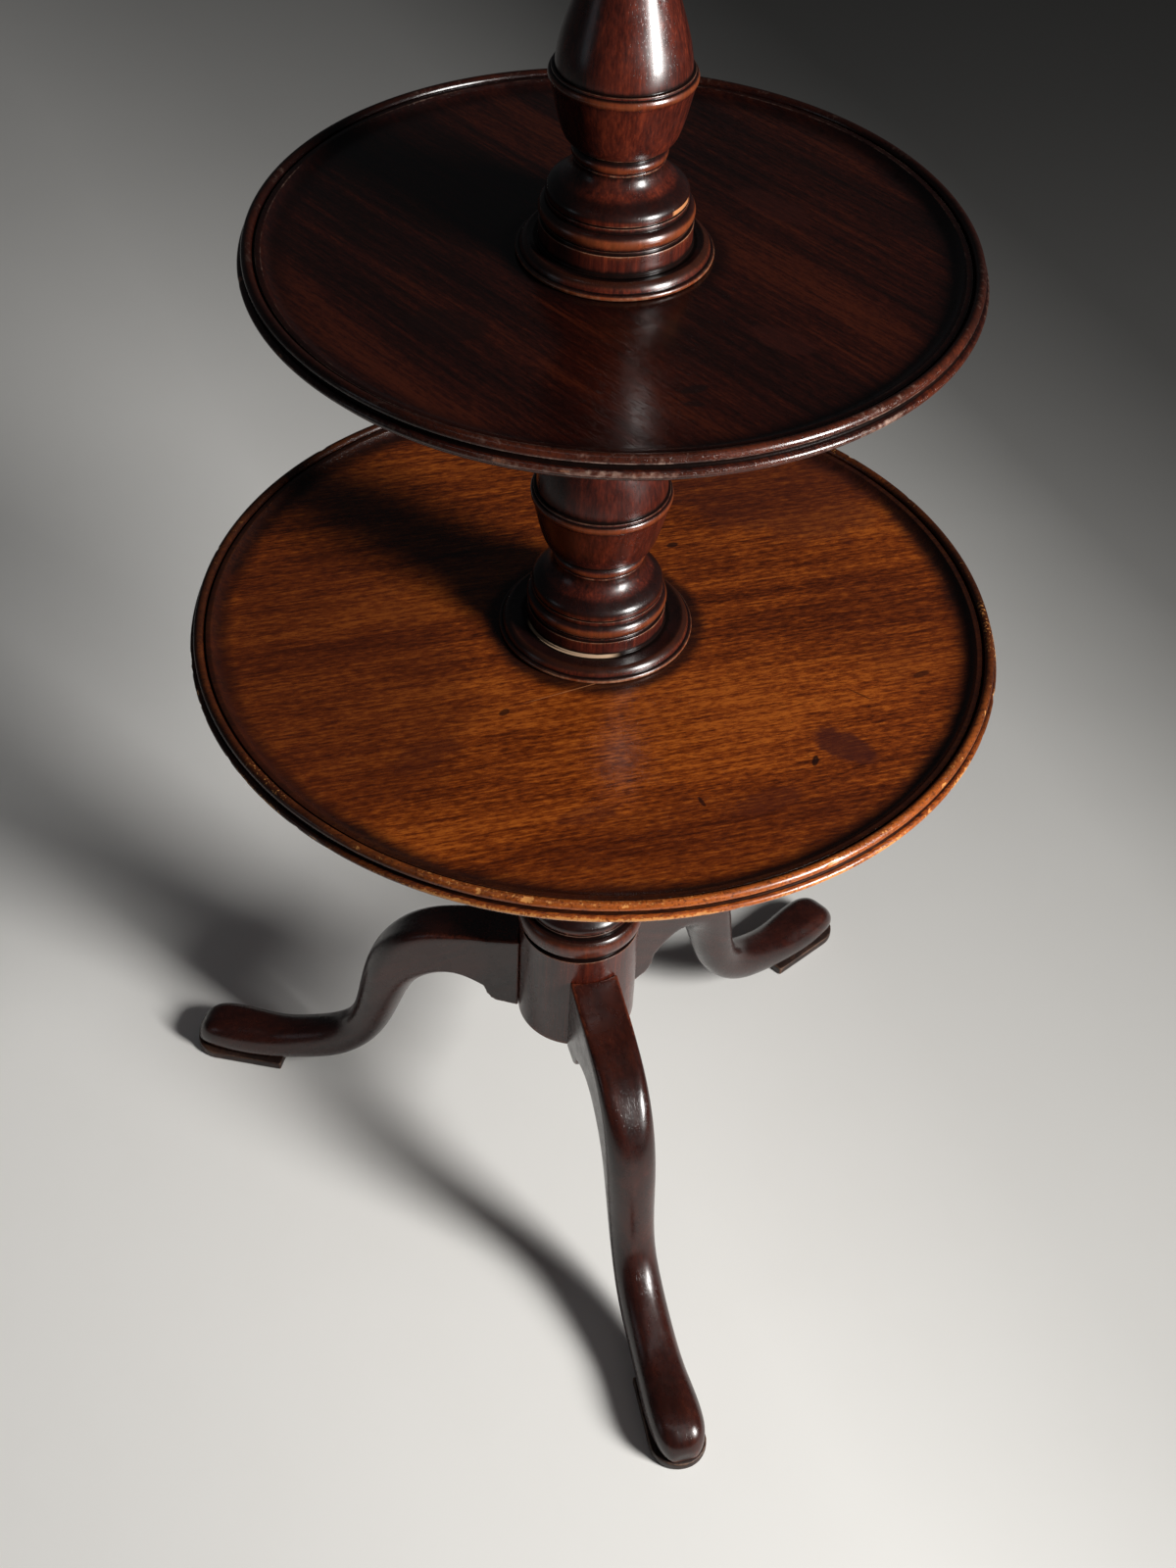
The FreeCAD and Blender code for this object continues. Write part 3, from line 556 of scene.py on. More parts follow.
def on_the_lathe(rows, segments, closed=False, carve=None):
    """(corners in metres, faces, numbers) of a turned piece. carve is a step that may lower some places."""
    first_is_pole = not closed and rows[0, 0] < POLE_RADIUS
    last_is_pole = not closed and rows[-1, 0] < POLE_RADIUS
    turn = np.arange(segments) * 2 * np.pi / segments
    middle = rows[1 if first_is_pole else 0:len(rows) - 1 if last_is_pole else len(rows)]
    radius, height, edge, crown = (np.repeat(column[:, None], segments, 1) for column in middle.T)
    chip = np.zeros_like(radius)
    if carve:
        radius, height, chip = carve(radius, height, np.broadcast_to(turn, radius.shape))
    place = np.stack([radius * np.cos(turn), radius * np.sin(turn), height], 2).reshape(-1, 3)
    numbers = {"edge": edge.ravel(), "crown": crown.ravel(), "chip": chip.ravel()}
    for is_pole, row, at_end in ((first_is_pole, rows[0], False), (last_is_pole, rows[-1], True)):
        if is_pole:
            pole = np.array([[0.0, 0.0, row[1]]])
            place = np.concatenate([place, pole] if at_end else [pole, place])
            for key in numbers:
                numbers[key] = np.append(numbers[key], 0.0) if at_end else np.append(0.0, numbers[key])
    return place * MM, ring_faces(len(rows), segments, closed, first_is_pole, last_is_pole), numbers


# %% [markdown]
# ## Mahogany
# All the show wood is mahogany. Looked at closely it has five layers: wide bands from the growth of the
# tree, fine streaks along the grain, a crinkled mottle across it, short dark pores, and over all of it the
# tone of old shellac. The recipe stacks noises that are stretched along the grain, because pores are a few
# millimetres long and a third of a millimetre wide. The same net serves all pieces with other tones, since
# a tray top has been washed and bleached for years while the column kept its dark polish.

# %% Figure and pores
# How tightly the noise of each layer is squeezed along the grain and across it.
STREAKS = (8.0, 190.0, 190.0)
FINE_STREAKS = (34.0, 620.0, 620.0)
CRINKLE = (130.0, 460.0, 460.0)
PORES = (150.0, 1500.0, 1500.0)
BAND_SHIFT = (3.1, 0.7, 1.9)


def figure_of(f, timber, tones, figure, mottle, shares, spread):
    """(colour, fine streaks) of the wood. Tones run from the darkest streak to the lightest. shares says how
    much the bands, the streaks, the fine streaks and the crinkle count."""
    bands = f.noise(f.stretched(timber, (figure[0], figure[1], figure[1]), BAND_SHIFT), 1.0, 3.0, 0.5, 0.9)
    streaks = f.noise(f.stretched(timber, STREAKS), 1.0, 4.0, 0.62, 0.3)
    fine = f.noise(f.stretched(timber, FINE_STREAKS), 1.0, 3.0, 0.6)
    crinkle = f.noise(f.stretched(timber, CRINKLE), 1.0, 4.0, 0.72)
    blend = f.sum(f.times(bands, shares[0]), f.times(streaks, shares[1]))
    blend = f.sum(blend, f.sum(f.times(fine, shares[2]), f.times(crinkle, shares[3] * mottle)))
    blend = f.sum(blend, 0.5 * shares[3] * (1 - mottle))
    stops = [(i / (len(tones) - 1), tone) for i, tone in enumerate(tones)]
    return f.ramp(f.between(blend, 0.50 - spread, 0.50 + spread), stops), fine


def open_pores(f, timber):
    """1 in the short pores and 0 between them. They lie closer together in some parts of the board."""
    crowd = f.times(f.less(f.noise(timber, 5.0, 2.0), 0.5), 0.25)
    return f.between(f.sum(f.noise(f.stretched(timber, PORES), 1.0, 2.0, 0.5), crowd), 0.60, 0.72)


# %% [markdown]
# Wear and dirt come on top of the figure. Painting them by hand would take a picture, so they follow the
# numbers that the mesh carries instead: crowns glow where they are rubbed, edges go down to the wood, and
# hollows hold grime. On the column and the middle tray the edges are pale, as wear and as a painted
# highlight. A ragged noise is added to each number first, because no real polish wears away along a clean
# line.

# %% Wear
def rubbed_thin(f, colour, edge, crown, ragged, darkest, rubbed, crown_glow, flecks, edge_wear_and_highlight_colour):
    """Crowns that glow, with flecks of old polish left on them, and edges that are worn through, in an edge
    colour that also paints a highlight along them where it is pale.
    """
    glow = f.between(f.sum(crown, ragged), 0.25, 1.5)
    colour = f.mix(f.times(glow, crown_glow), colour, rubbed)
    if flecks:
        old_polish = f.noise(f.stretched(f.here(), (420.0, 420.0, 700.0)), 1.0, 4.0, 0.7)
        dark_fleck = f.between(old_polish, 0.52, 0.64)
        on_crown = f.between(crown, 0.15, 0.8)
        colour = f.mix(f.times(f.times(dark_fleck, on_crown), flecks), colour, darkest)
    # Worn edges. Where the edge colour is pale, it is also a painted highlight along the edge.
    edge_wear_and_highlight_mask = f.between(f.sum(f.times(edge, 2.4), ragged), 0.45, 1.00)
    return f.mix(f.times(edge_wear_and_highlight_mask, 0.80), colour, edge_wear_and_highlight_colour)


def chipped(f, colour, bare_wood):
    """Splinters are gone where the mesh says that a rim is chipped, and bare wood shows."""
    chip = f.attribute("chip")
    splinter = f.noise(f.here(), 480.0, 4.0, 0.7)
    bare = f.between(f.sum(chip, f.times(f.less(splinter, 0.5), 2.6)), 0.45, 0.75)
    bare = f.times(bare, f.between(chip, 0.04, 0.25))
    return f.mix(f.times(bare, 0.85), colour, bare_wood)


# %% [markdown]
# The whole recipe puts the layers in the order in which a polisher and two centuries laid them. Grime and
# wax are dull, so they also take away the shine. The pores sink a little below the surface, and the fine
# streaks stand a little above it. Real dents for these would take millions of faces, so they are only
# shading.

# %% The mahogany recipe
GRIME = srgb(13, 8, 7)
BARE_WOOD = srgb(188, 128, 70)
PORE_DARKNESS = 0.22     # share of the darkest tone


def mahogany(name, tones, rubbed, figure=(1.7, 15.0), mottle=1.0, pores=0.55, gloss=(0.20, 0.34),
             crown_glow=0.35, soil_and_shade=None, marks=None, where=None, depth=1.0, coat=0.0, spread=0.12, flecks=0.0,
             shares=(0.34, 0.26, 0.16, 0.24), edge_wear_and_highlight=None, grime_reach=0.8, shine=0.5,
             bare_wood=BARE_WOOD):
    """rubbed is the colour of worn crowns, and of worn edges too without an edge_wear_and_highlight, a pale
    edge colour that paints a highlight along the edges as well as their wear. soil_and_shade is a strength
    and a colour for dirt and painted shade. marks is a step that adds marks of use, and on the bottom board a
    painted shadow. where turns the grain of a piece that has no timber number. shine is the polish, which wax
    and dirt hide."""
    f = Finish(name, Coat_Weight=coat, Coat_Roughness=0.16)
    timber = f.attribute("timber", 1) if where is None else f.turned(f.here(), where)
    colour, fine = figure_of(f, timber, tones, figure, mottle, shares, spread)
    open_pore = open_pores(f, timber)
    colour = f.mix(f.times(open_pore, pores), colour, tuple(PORE_DARKNESS * c for c in tones[0][:3]) + (1,))

    blotch = f.noise(f.here(), 22.0, 5.0, 0.62)
    fleck = f.noise(f.here(), 260.0, 3.0, 0.6)
    edge = f.attribute("edge")
    crown = f.attribute("crown")
    ragged = f.sum(f.times(f.less(blotch, 0.5), 1.2), f.times(f.less(fleck, 0.5), 0.9))
    colour = rubbed_thin(
        f, colour, edge, crown, ragged, tones[0], rubbed, crown_glow, flecks, edge_wear_and_highlight or rubbed)

    hollow = f.larger(f.between(f.sum(f.times(edge, -4.2), ragged), 0.25, 0.70),
                      f.between(f.sum(f.times(crown, -grime_reach), ragged), 0.30, 1.2))
    dull = f.times(hollow, 0.95)
    # Dirt darkens the wood here, and in the coves of the trays it is painted shade as well.
    if soil_and_shade is not None:
        soil_and_shade_mask = f.between(f.sum(f.attribute("soil_and_shade"), f.times(f.less(blotch, 0.5), 0.8)), 0.18, 0.95)
        colour = f.mix(f.times(soil_and_shade_mask, soil_and_shade[0]), colour, soil_and_shade[1])
        dull = f.larger(dull, f.times(soil_and_shade_mask, 0.25))
    colour = f.mix(f.times(hollow, 0.93), colour, GRIME)
    if marks is not None:
        colour = marks(f, colour)
    colour = chipped(f, colour, bare_wood)

    rub = f.noise(f.here(), 55.0, 4.0, 0.65)
    roughness = f.between(f.sum(rub, f.times(f.less(blotch, 0.5), 0.3)), 0.30, 0.75, gloss[0], gloss[1])
    roughness = f.sum(roughness, f.times(hollow, 0.10))
    f.feed(f.shader.inputs["Specular IOR Level"], f.times(f.less(1.0, dull), shine))
    grain = f.relief(f.sum(f.times(open_pore, -1.0), f.times(fine, 0.6)), 0.00012 * depth, 0.55)
    skin = f.relief(f.noise(f.here(), 120.0, 3.0, 0.6), 0.0003 * depth, 0.22, grain)
    return f.done(colour, roughness, skin)


# %% [markdown]
# ## The trays
# Each tray was turned from a single wide board. From outside in, its rim has an under-round, a plain edge,
# a small roll, a groove, the bead that crowns it, a narrow quirk, a flat fillet and a cove down to the
# floor. A circle with a bevel would miss most of these, so the whole section is written as an outline for
# the lathe.

# %% Outline of a tray
# Widths and heights in millimetres.
RIM = {"bead": 3.5, "step": 1.1, "groove": 3.6, "groove_depth": 1.5, "roll": 2.6, "plain": 2.9, "under": 3.2,
       "under_width": 6.0, "bead_back": 2.7, "plain_back": 4.5, "quirk": 1.5, "quirk_depth": 0.9,
       "fillet": 3.8, "fillet_drop": 2.9, "cove": 9.0}
DISH_DEPTH = 8.0         # from the top of the bead down to the floor of the tray
RIM_WIDTH = 10.0         # the roll and the bead, which hands reach
BOARD = RIM["bead"] + RIM["step"] + RIM["groove"] + 2 * RIM["roll"] + RIM["plain"] + RIM["under"]
BORE_RADIUS = 19.08      # a free fit on the column's journal
BLIND_RADIUS = 0.5       # where the floor of the top tray, which has no bore, ends short of the axis


def tray_outline(radius, rim, bore_top):
    """Closed outline of a tray, from its bore outwards over the rim and back along the floor."""
    under = rim - BOARD
    roll_high = rim - RIM["bead"] - RIM["step"] - RIM["groove"]
    roll_low = roll_high - 2 * RIM["roll"]
    groove_high = roll_high + RIM["groove"]
    bead_low = rim - RIM["bead"]
    plain_edge = radius - RIM["plain_back"]
    bead_outer = radius - RIM["bead_back"]
    bead_inner = bead_outer - 2 * RIM["bead"]
    quirk_inner = bead_inner - RIM["quirk"]
    fillet_top = rim - RIM["fillet_drop"]
    cove_top = quirk_inner - RIM["fillet"]
    dish = rim - DISH_DEPTH
    round_start = (plain_edge - RIM["under_width"], under)
    moves = to(round_start) + leaves_level(round_start, (plain_edge, under + RIM["under"]))
    moves += to((plain_edge, roll_low)) + bead(radius - RIM["roll"], radius, roll_low, roll_high)
    moves += [((bead_outer - RIM["groove_depth"], (groove_high + roll_high) / 2), (bead_outer, groove_high))]
    moves += to((bead_outer, bead_low)) + [((bead_outer - RIM["bead"], rim), (bead_inner, bead_low))]
    moves += to((bead_inner, bead_low - RIM["quirk_depth"]), (quirk_inner, bead_low - RIM["quirk_depth"]))
    moves += to((quirk_inner, fillet_top), (cove_top, fillet_top))
    moves += arrives_level((cove_top, fillet_top), (cove_top - RIM["cove"], dish))
    if bore_top > dish:
        moves += to((BORE_RADIUS, dish))
    else:
        moves += to((BLIND_RADIUS, dish), (BLIND_RADIUS, bore_top), (BORE_RADIUS, bore_top))
    return (BORE_RADIUS, under), moves + to((BORE_RADIUS, under))


# %% [markdown]
# ## Marks of use, and a painted shadow
# The boards keep the marks of what stood on them. A painted mask could hold them, but a few ovals with
# ragged edges say the same in plain numbers, and each can be moved on its own. A stain is a large oval, a
# nick is a small dark one, and a scratch is a long thin one that is paler than the wood. One large oval in
# the stain's colour, at the back right of the bottom board, is painted shadow of the middle tray.

# %% Marks of use, and a painted shadow
OVAL_FADE = (1.15, 0.75)    # where an oval starts and where it is full, in shares of its own reach


def oval(f, here, x, y, long, wide, turn, ragged):
    """1 inside an oval at (x, y) on the tray, 0 outside, with an edge that the ragged noise frays."""
    moved = f.node("VectorMath", {0: here, 1: (-x, -y, 0.0)}, operation="ADD")
    turned = f.turned(moved, (0.0, 0.0, math.radians(-turn)))
    flat = f.node("VectorMath", {0: turned, 1: (1 / long, 1 / wide, 0.0)}, operation="MULTIPLY")
    return f.between(f.sum(f.measure("LENGTH", flat), ragged), *OVAL_FADE)


def marked(spots):
    """A step for the mahogany recipe. Spots are (x, y, long, wide, turn, colour, strength), in metres and
    degrees."""
    print("Marks placed by hand on a board:", len(spots))

    def step(f, colour):
        here = f.here()
        ragged = f.times(f.less(f.noise(here, 90.0, 4.0, 0.6), 0.5), 0.9)
        for x, y, long, wide, turn, shade, strength in spots:
            inside = oval(f, here, x, y, long, wide, turn, ragged)
            colour = f.mix(f.times(inside, strength), colour, shade)
        return colour
    return step


# The stain colour also paints one shadow on the bottom board.
STAIN_AND_SHADOW = srgb(58, 24, 18)
NICK = srgb(24, 11, 9)
REDDISH = srgb(62, 23, 10)
SCRATCH = srgb(178, 116, 72)
bottom_marks_and_shadow = marked([
    (0.131, -0.166, 0.025, 0.0135, -50, STAIN_AND_SHADOW, 0.80), (0.1067, -0.175, 0.0055, 0.0022, 60, NICK, 0.90),
    (0.0192, -0.195, 0.0050, 0.0016, -80, NICK, 0.90), (0.0808, 0.073, 0.0050, 0.0030, 10, NICK, 0.85),
    (-0.0873, -0.080, 0.0045, 0.0030, 30, NICK, 0.80), (0.2106, -0.108, 0.0070, 0.0030, 15, NICK, 0.75),
    (0.062, -0.205, 0.026, 0.010, 12, STAIN_AND_SHADOW, 0.45), (0.160, -0.118, 0.012, 0.0008, -50, NICK, 0.60),
    (-0.040, -0.069, 0.036, 0.0004, 9, SCRATCH, 0.55), (-0.150, -0.110, 0.030, 0.013, 20, STAIN_AND_SHADOW, 0.35),
    # The large oval at (0.165, 0.130), in the stain's colour, is painted shadow of the middle tray on the
    # back right of the board.
    (0.165, 0.130, 0.100, 0.060, -40, STAIN_AND_SHADOW, 0.50), (-0.190, -0.020, 0.090, 0.150, 0, REDDISH, 0.42),
    (0.010, -0.230, 0.150, 0.042, 4, REDDISH, 0.30), (0.215, -0.060, 0.050, 0.090, 20, REDDISH, 0.25),
    (-0.060, -0.190, 0.022, 0.008, 4, STAIN_AND_SHADOW, 0.35),
])
middle_marks = marked([
    (-0.122, -0.061, 0.026, 0.016, -35, NICK, 0.60), (0.0037, -0.158, 0.0085, 0.0042, 10, NICK, 0.85),
    (-0.001, -0.1725, 0.0060, 0.0028, -20, NICK, 0.80), (0.070, -0.120, 0.022, 0.012, -50, STAIN_AND_SHADOW, 0.40),
    (0.115, 0.030, 0.030, 0.014, -60, STAIN_AND_SHADOW, 0.35),
])

# %% [markdown]
# ## Three boards from one recipe
# The lowest tray has been washed and sunned to a warm orange brown, and its rim is rubbed and flecked. The
# middle one kept its dark red polish. The top one lies between them. Three materials could be wired one by
# one, but the recipe with other tones keeps the boards of one family.

# %% Finishes of the three boards
bottom_board = mahogany(
    "bottom_tray_mahogany", [srgb(52, 18, 6), srgb(88, 36, 10), srgb(116, 52, 14), srgb(152, 78, 24)],
    srgb(172, 92, 38), soil_and_shade=(0.92, srgb(24, 11, 9)), marks=bottom_marks_and_shadow, gloss=(0.20, 0.29), crown_glow=0.36,
    mottle=1.2, flecks=0.75, shares=(0.24, 0.20, 0.24, 0.32))
# The middle board's pale edge colour paints the highlight along its rim as well as its wear.
middle_board = mahogany(
    "middle_tray_mahogany", [srgb(17, 6, 5), srgb(30, 10, 7), srgb(45, 15, 9), srgb(66, 26, 13)],
    srgb(112, 58, 38), soil_and_shade=(0.75, srgb(15, 6, 6)), marks=middle_marks, gloss=(0.15, 0.23), crown_glow=0.14,
    flecks=0.5, edge_wear_and_highlight=srgb(158, 130, 116), bare_wood=srgb(112, 74, 56))
top_board = mahogany(
    "top_tray_mahogany", [srgb(34, 13, 10), srgb(56, 23, 14), srgb(78, 34, 18), srgb(104, 50, 25)],
    srgb(142, 74, 38), soil_and_shade=(0.75, srgb(22, 10, 9)), gloss=(0.22, 0.30), crown_glow=0.55)

# %% [markdown]
# ## Chips and rubbed places
# A rim that is two centuries old has small bites out of it, and it is rubbed down to the wood where hands
# take hold of it. Bites could be sculpted, but then each would have to be made again after any change of
# the rim. A carving step cuts them while the piece is on the lathe, and leaves a number where it cut, for
# the finish.

# %% Chips along the rim
random.seed(1771)
FRONT_HANDS = math.radians(-85.0)   # where hands take hold of the rims, from +X
ROLL_SHARE = 0.8                    # share of the bites that are on the roll, the others are on the bead
BITE_REACH = 6.0                    # millimetres from the edge inwards
WAVES, WAVE_SIZE = (2, 3, 5, 9, 14), 0.16    # the slight warp of the rim, in waves round it and millimetres
WARP_START, WARP_WIDTH = 26.0, 12.0          # millimetres inwards, and over how much the warp grows
RUB_WAVES = (3, 7, 13, 23, 41)      # the patches of rubbing, in waves round the rim
RUB_EVERYWHERE, RUB_IN_FRONT, RUB_PATCHES = 0.15, 0.75, 0.25
ROLL_RUB = 2.2                      # millimetres of the roll that are rubbed
BEAD_SHARE, BEAD_RUB, BEAD_FADE = 0.4, 2.4, 1.2    # the bead is rubbed less, and only near its top


def bites_of(rim, roll, count, depth):
    """(bearing, height, width, tallness, depth) of small bites, most of them out of the roll."""
    bites = []
    for _ in range(count):
        on_roll = random.random() < ROLL_SHARE
        height = roll + random.uniform(-1.8, 1.2) if on_roll else rim - random.uniform(0.8, 3.0)
        bites.append((random.uniform(0, 2 * math.pi), height, random.uniform(1.6, 5.0),
                      random.uniform(0.9, 2.2), depth * random.uniform(0.4, 1.0)))
    return bites


def rim_chips(radius, rim, count, depth, rub):
    """Carving step for the lathe: bites out of the rim, patches of the roll and the bead that are rubbed down
    to bare wood, most of all where hands reach them from the front, and a slight warp."""
    roll = rim - RIM["bead"] - RIM["step"] - RIM["groove"] - RIM["roll"]
    bites = bites_of(rim, roll, count, depth)
    waves = [(k, random.uniform(0, 2 * math.pi), WAVE_SIZE / k) for k in WAVES]
    rubs = [(k, random.uniform(0, 2 * math.pi)) for k in RUB_WAVES]

    def carve(r, z, turn):
        cut = np.zeros_like(r)
        for angle, height, wide, tall, deep in bites:
            aside = (turn - angle + np.pi) % (2 * np.pi) - np.pi
            off = (aside * radius / wide) ** 2 + ((z - height) / tall) ** 2
            cut = np.maximum(cut, deep * np.clip(1 - off, 0, 1) ** 0.6 * (r > radius - BITE_REACH))
        warp = sum(size * (np.sin(k * turn + start) - 1.0) for k, start, size in waves)
        warped = np.clip((r - (radius - WARP_START)) / WARP_WIDTH, 0.0, 1.0)
        patchy = RUB_EVERYWHERE + RUB_IN_FRONT * np.cos(0.5 * (turn - FRONT_HANDS)) ** 8
        patchy = patchy + RUB_PATCHES * sum(np.sin(k * turn + start) for k, start in rubs)
        on_roll = np.clip(1.25 - np.abs(z - roll) / ROLL_RUB, 0, 1) * (r > radius - ROLL_RUB)
        on_bead = BEAD_SHARE * np.clip((z - rim + BEAD_RUB) / BEAD_FADE, 0, 1) * (r > radius - RIM_WIDTH)
        bare = np.maximum(cut / (0.6 * depth), rub * np.maximum(on_roll, on_bead) * np.clip(patchy, 0, 1))
        return r - cut + warp * warped, z, np.clip(bare, 0, 1)
    return carve


# %% [markdown]
# ## Dirt and painted shade, and the trays themselves
# A duster goes round the middle of a board and misses its cove, where the shade that the rim throws is
# painted as well. The board is also made darker round the column's foot and on the rim away from the front.
# Each tray is then one call of the lathe. The CAD part gives its radius and the height of its rim. Each board
# has its own turn of the grain and its own stretch of a long plank, so that no two trays show the same
# figure.

# %% Dirt and painted shade on a tray
# The cove band is dirt and painted shade: the shade that the rim throws on the board is painted into it.
COVE_DIRT_AND_SHADE, COVE_DIRT_AND_SHADE_WIDTH = 38.0, 20.0     # millimetres from the rim inwards, and over how much it grows
# The board is made darker round the column's foot.
FOOT_DARKENING, FOOT_DARKENING_WIDTH = 17.0, 15.0     # millimetres from the column's foot outwards
RIM_DARKENING, RIM_DARKENING_SHARPNESS = 0.85, 14         # darker on the rim away from the front, and how sharply


def soil_and_shade_of(corners, radius, foot):
    """Dirt and painted shade along the cove of the rim, and a darkening round the foot of the column and on
    the rim away from the front.
    """
    r = np.hypot(corners[:, 0], corners[:, 1]) / MM
    by_rim = np.clip((r - (radius - COVE_DIRT_AND_SHADE)) / COVE_DIRT_AND_SHADE_WIDTH, 0, 1) * (r < radius - RIM_WIDTH)
    by_foot = np.clip((foot + FOOT_DARKENING - r) / FOOT_DARKENING_WIDTH, 0, 1)
    away = np.arctan2(corners[:, 1], corners[:, 0]) - FRONT_HANDS
    darker_rim = RIM_DARKENING * (1.0 - np.cos(0.5 * away) ** RIM_DARKENING_SHARPNESS) * (r >= radius - RIM_WIDTH)
    return np.maximum(np.maximum(by_rim, by_foot), darker_rim)


# %% Turn the trays
BOTTOM_FOOT, MIDDLE_FOOT = 69.7, 62.6   # radius of the column's moulded disc on the two lower trays
NO_FOOT = -20.0                         # too small for any darkening round it
PLANK_STEP = 0.3                        # metres of plank for each segment, which sets the boards apart
TOP_BORE_COVER = 6.5                    # wood over the blind bore of the top tray
JOURNAL_GAP = 0.3                       # between the end of the journal and the wood
TIERS = {
    # tier: finish, grain turn, segments, chips, chip depth, rub, column foot
    "bottom": (bottom_board, 0.0, 576, 70, 1.1, 0.90, BOTTOM_FOOT),
    "middle": (middle_board, -63.0, 448, 10, 0.4, 0.10, MIDDLE_FOOT),
    "top": (top_board, 20.0, 384, 16, 0.5, 0.30, NO_FOOT),
}


def plank(corners, turn, stretch):
    """Place in a long plank whose grain lies at this turn from +X."""
    c, s = math.cos(math.radians(turn)), math.sin(math.radians(turn))
    x, y, z = corners.T
    return np.stack([c * x + s * y + stretch, -s * x + c * y, z], 1)


for tier, (finish, grain_turn, segments, chips, chip_depth, rub, foot) in TIERS.items():
    low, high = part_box(tier + "_tray")
    radius, rim = round(high[0] / MM, 2), round(high[2] / MM, 2)
    bore_top = rim if tier != "top" else rim - DISH_DEPTH - TOP_BORE_COVER + JOURNAL_GAP
    start, moves = tray_outline(radius, rim, bore_top)
    rows = template(start, moves, closed=True, longest=12.0)
    carve = rim_chips(radius, rim, chips, chip_depth, rub)
    corners, faces, numbers = on_the_lathe(rows, segments, True, carve)
    numbers["timber"] = plank(corners, grain_turn, PLANK_STEP * segments)
    numbers["soil_and_shade"] = soil_and_shade_of(corners, radius, foot)
    new_piece(tier + "_tray_board", corners, faces, numbers, finish, tier + "_tier", "tray_mahogany",
              tier + "_tray")
    print(tier, "tray: radius", radius, "mm, rim at", rim, "mm,", len(rows), "rings")

# %% [markdown]
# ## The column
# The column is three turnings, one above the other, and all three repeat one baluster: a torus, a bell, a
# neck bead, a bowl, a belly ring with two fine steps, a tall vase, an astragal and a flared capital. The
# lowest one grows out of the plain barrel that the legs join. The others start with a moulded disc on the
# tray below. One function turns the shared part, so that a change of the baluster changes the whole column.

# %% Sizes of the column
# Millimetres. The heights that the sections share stand in the order of the mouldings, from a tray up.
JOURNAL, TENON, TENON_LENGTH, MORTISE_DEPTH, TENON_GAP = 19.0, 12.5, 52.0, 54.0, 0.05
BEARER, WASHER = 14.0, 2.0
COLLAR_DROP = BOARD + BEARER + WASHER
BASE_GAP, BASE_RING, BASE_OGEE, BASE_DISH = 0.3, 3.6, 6.2, 1.4
BAND_FLARE, BAND_STEP = 1.8, 1.8
BELL_PLINTH, BELL_GROOVE, BELL_EDGE, BELL_STEP = 3.5, 1.1, 2.6, 1.5
NECK_BEAD, NECK_STEP, CUP_STEP = 7.0, 2.5, 1.3
BELLY_BEAD, BELLY_STEP, ASTRAGAL = 6.0, 2.0, 7.0
CAPITAL, COLLAR, COLLAR_ROUND = 22.0, 7.0, 2.0
SECTIONS = {
    # Radii first, then the heights that differ, then the place of the section in its plank, in metres.
    "lower": {"torus": 52.3, "bell": 44.0, "neck": 33.4, "belly": 49.6, "waist": 22.5, "collar": 46.0,
              "torus_height": 18.0, "bell_height": 19.5, "cup_height": 42.0, "stretch": 0.0},
    "middle": {"base": BOTTOM_FOOT, "torus": 50.0, "bell": 46.8, "neck": 33.4, "belly": 49.4, "waist": 21.5,
               "collar": 43.0, "band_height": 12.3, "torus_height": 11.0, "bell_height": 22.0,
               "cup_height": 39.5, "stretch": 1.2},
    "upper": {"base": MIDDLE_FOOT, "torus": 48.9, "bell": 44.5, "neck": 29.8, "belly": 45.1, "waist": 20.0,
              "collar": 40.0, "band_height": 14.3, "torus_height": 11.0, "bell_height": 21.5,
              "cup_height": 38.0, "stretch": 1.0},
}
bottom_rim, middle_rim, top_rim = (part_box(tier + "_tray")[1][2] / MM for tier in TIERS)


def disc_heights(s, rim_below):
    """Heights of the disc on the tray: its foot, ring and ogee, the foot and top of its band, the torus."""
    foot = rim_below - DISH_DEPTH + BASE_GAP
    ring = foot + BASE_RING
    ogee = ring + BASE_OGEE
    band_low = ogee - BASE_DISH
    band_high = band_low + s["band_height"]
    return foot, ring, ogee, band_low, band_high, band_high + BAND_STEP


def bell_edges(s, torus_low):
    """Heights of the bell's edge: its lower and its upper side, where the dome starts."""
    edge_low = torus_low + s["torus_height"] + BELL_PLINTH + BELL_GROOVE
    return edge_low, edge_low + BELL_EDGE


for name, radii in SECTIONS.items():
    print(name, "section: radius of the torus", radii["torus"], "mm, of the belly", radii["belly"], "mm")

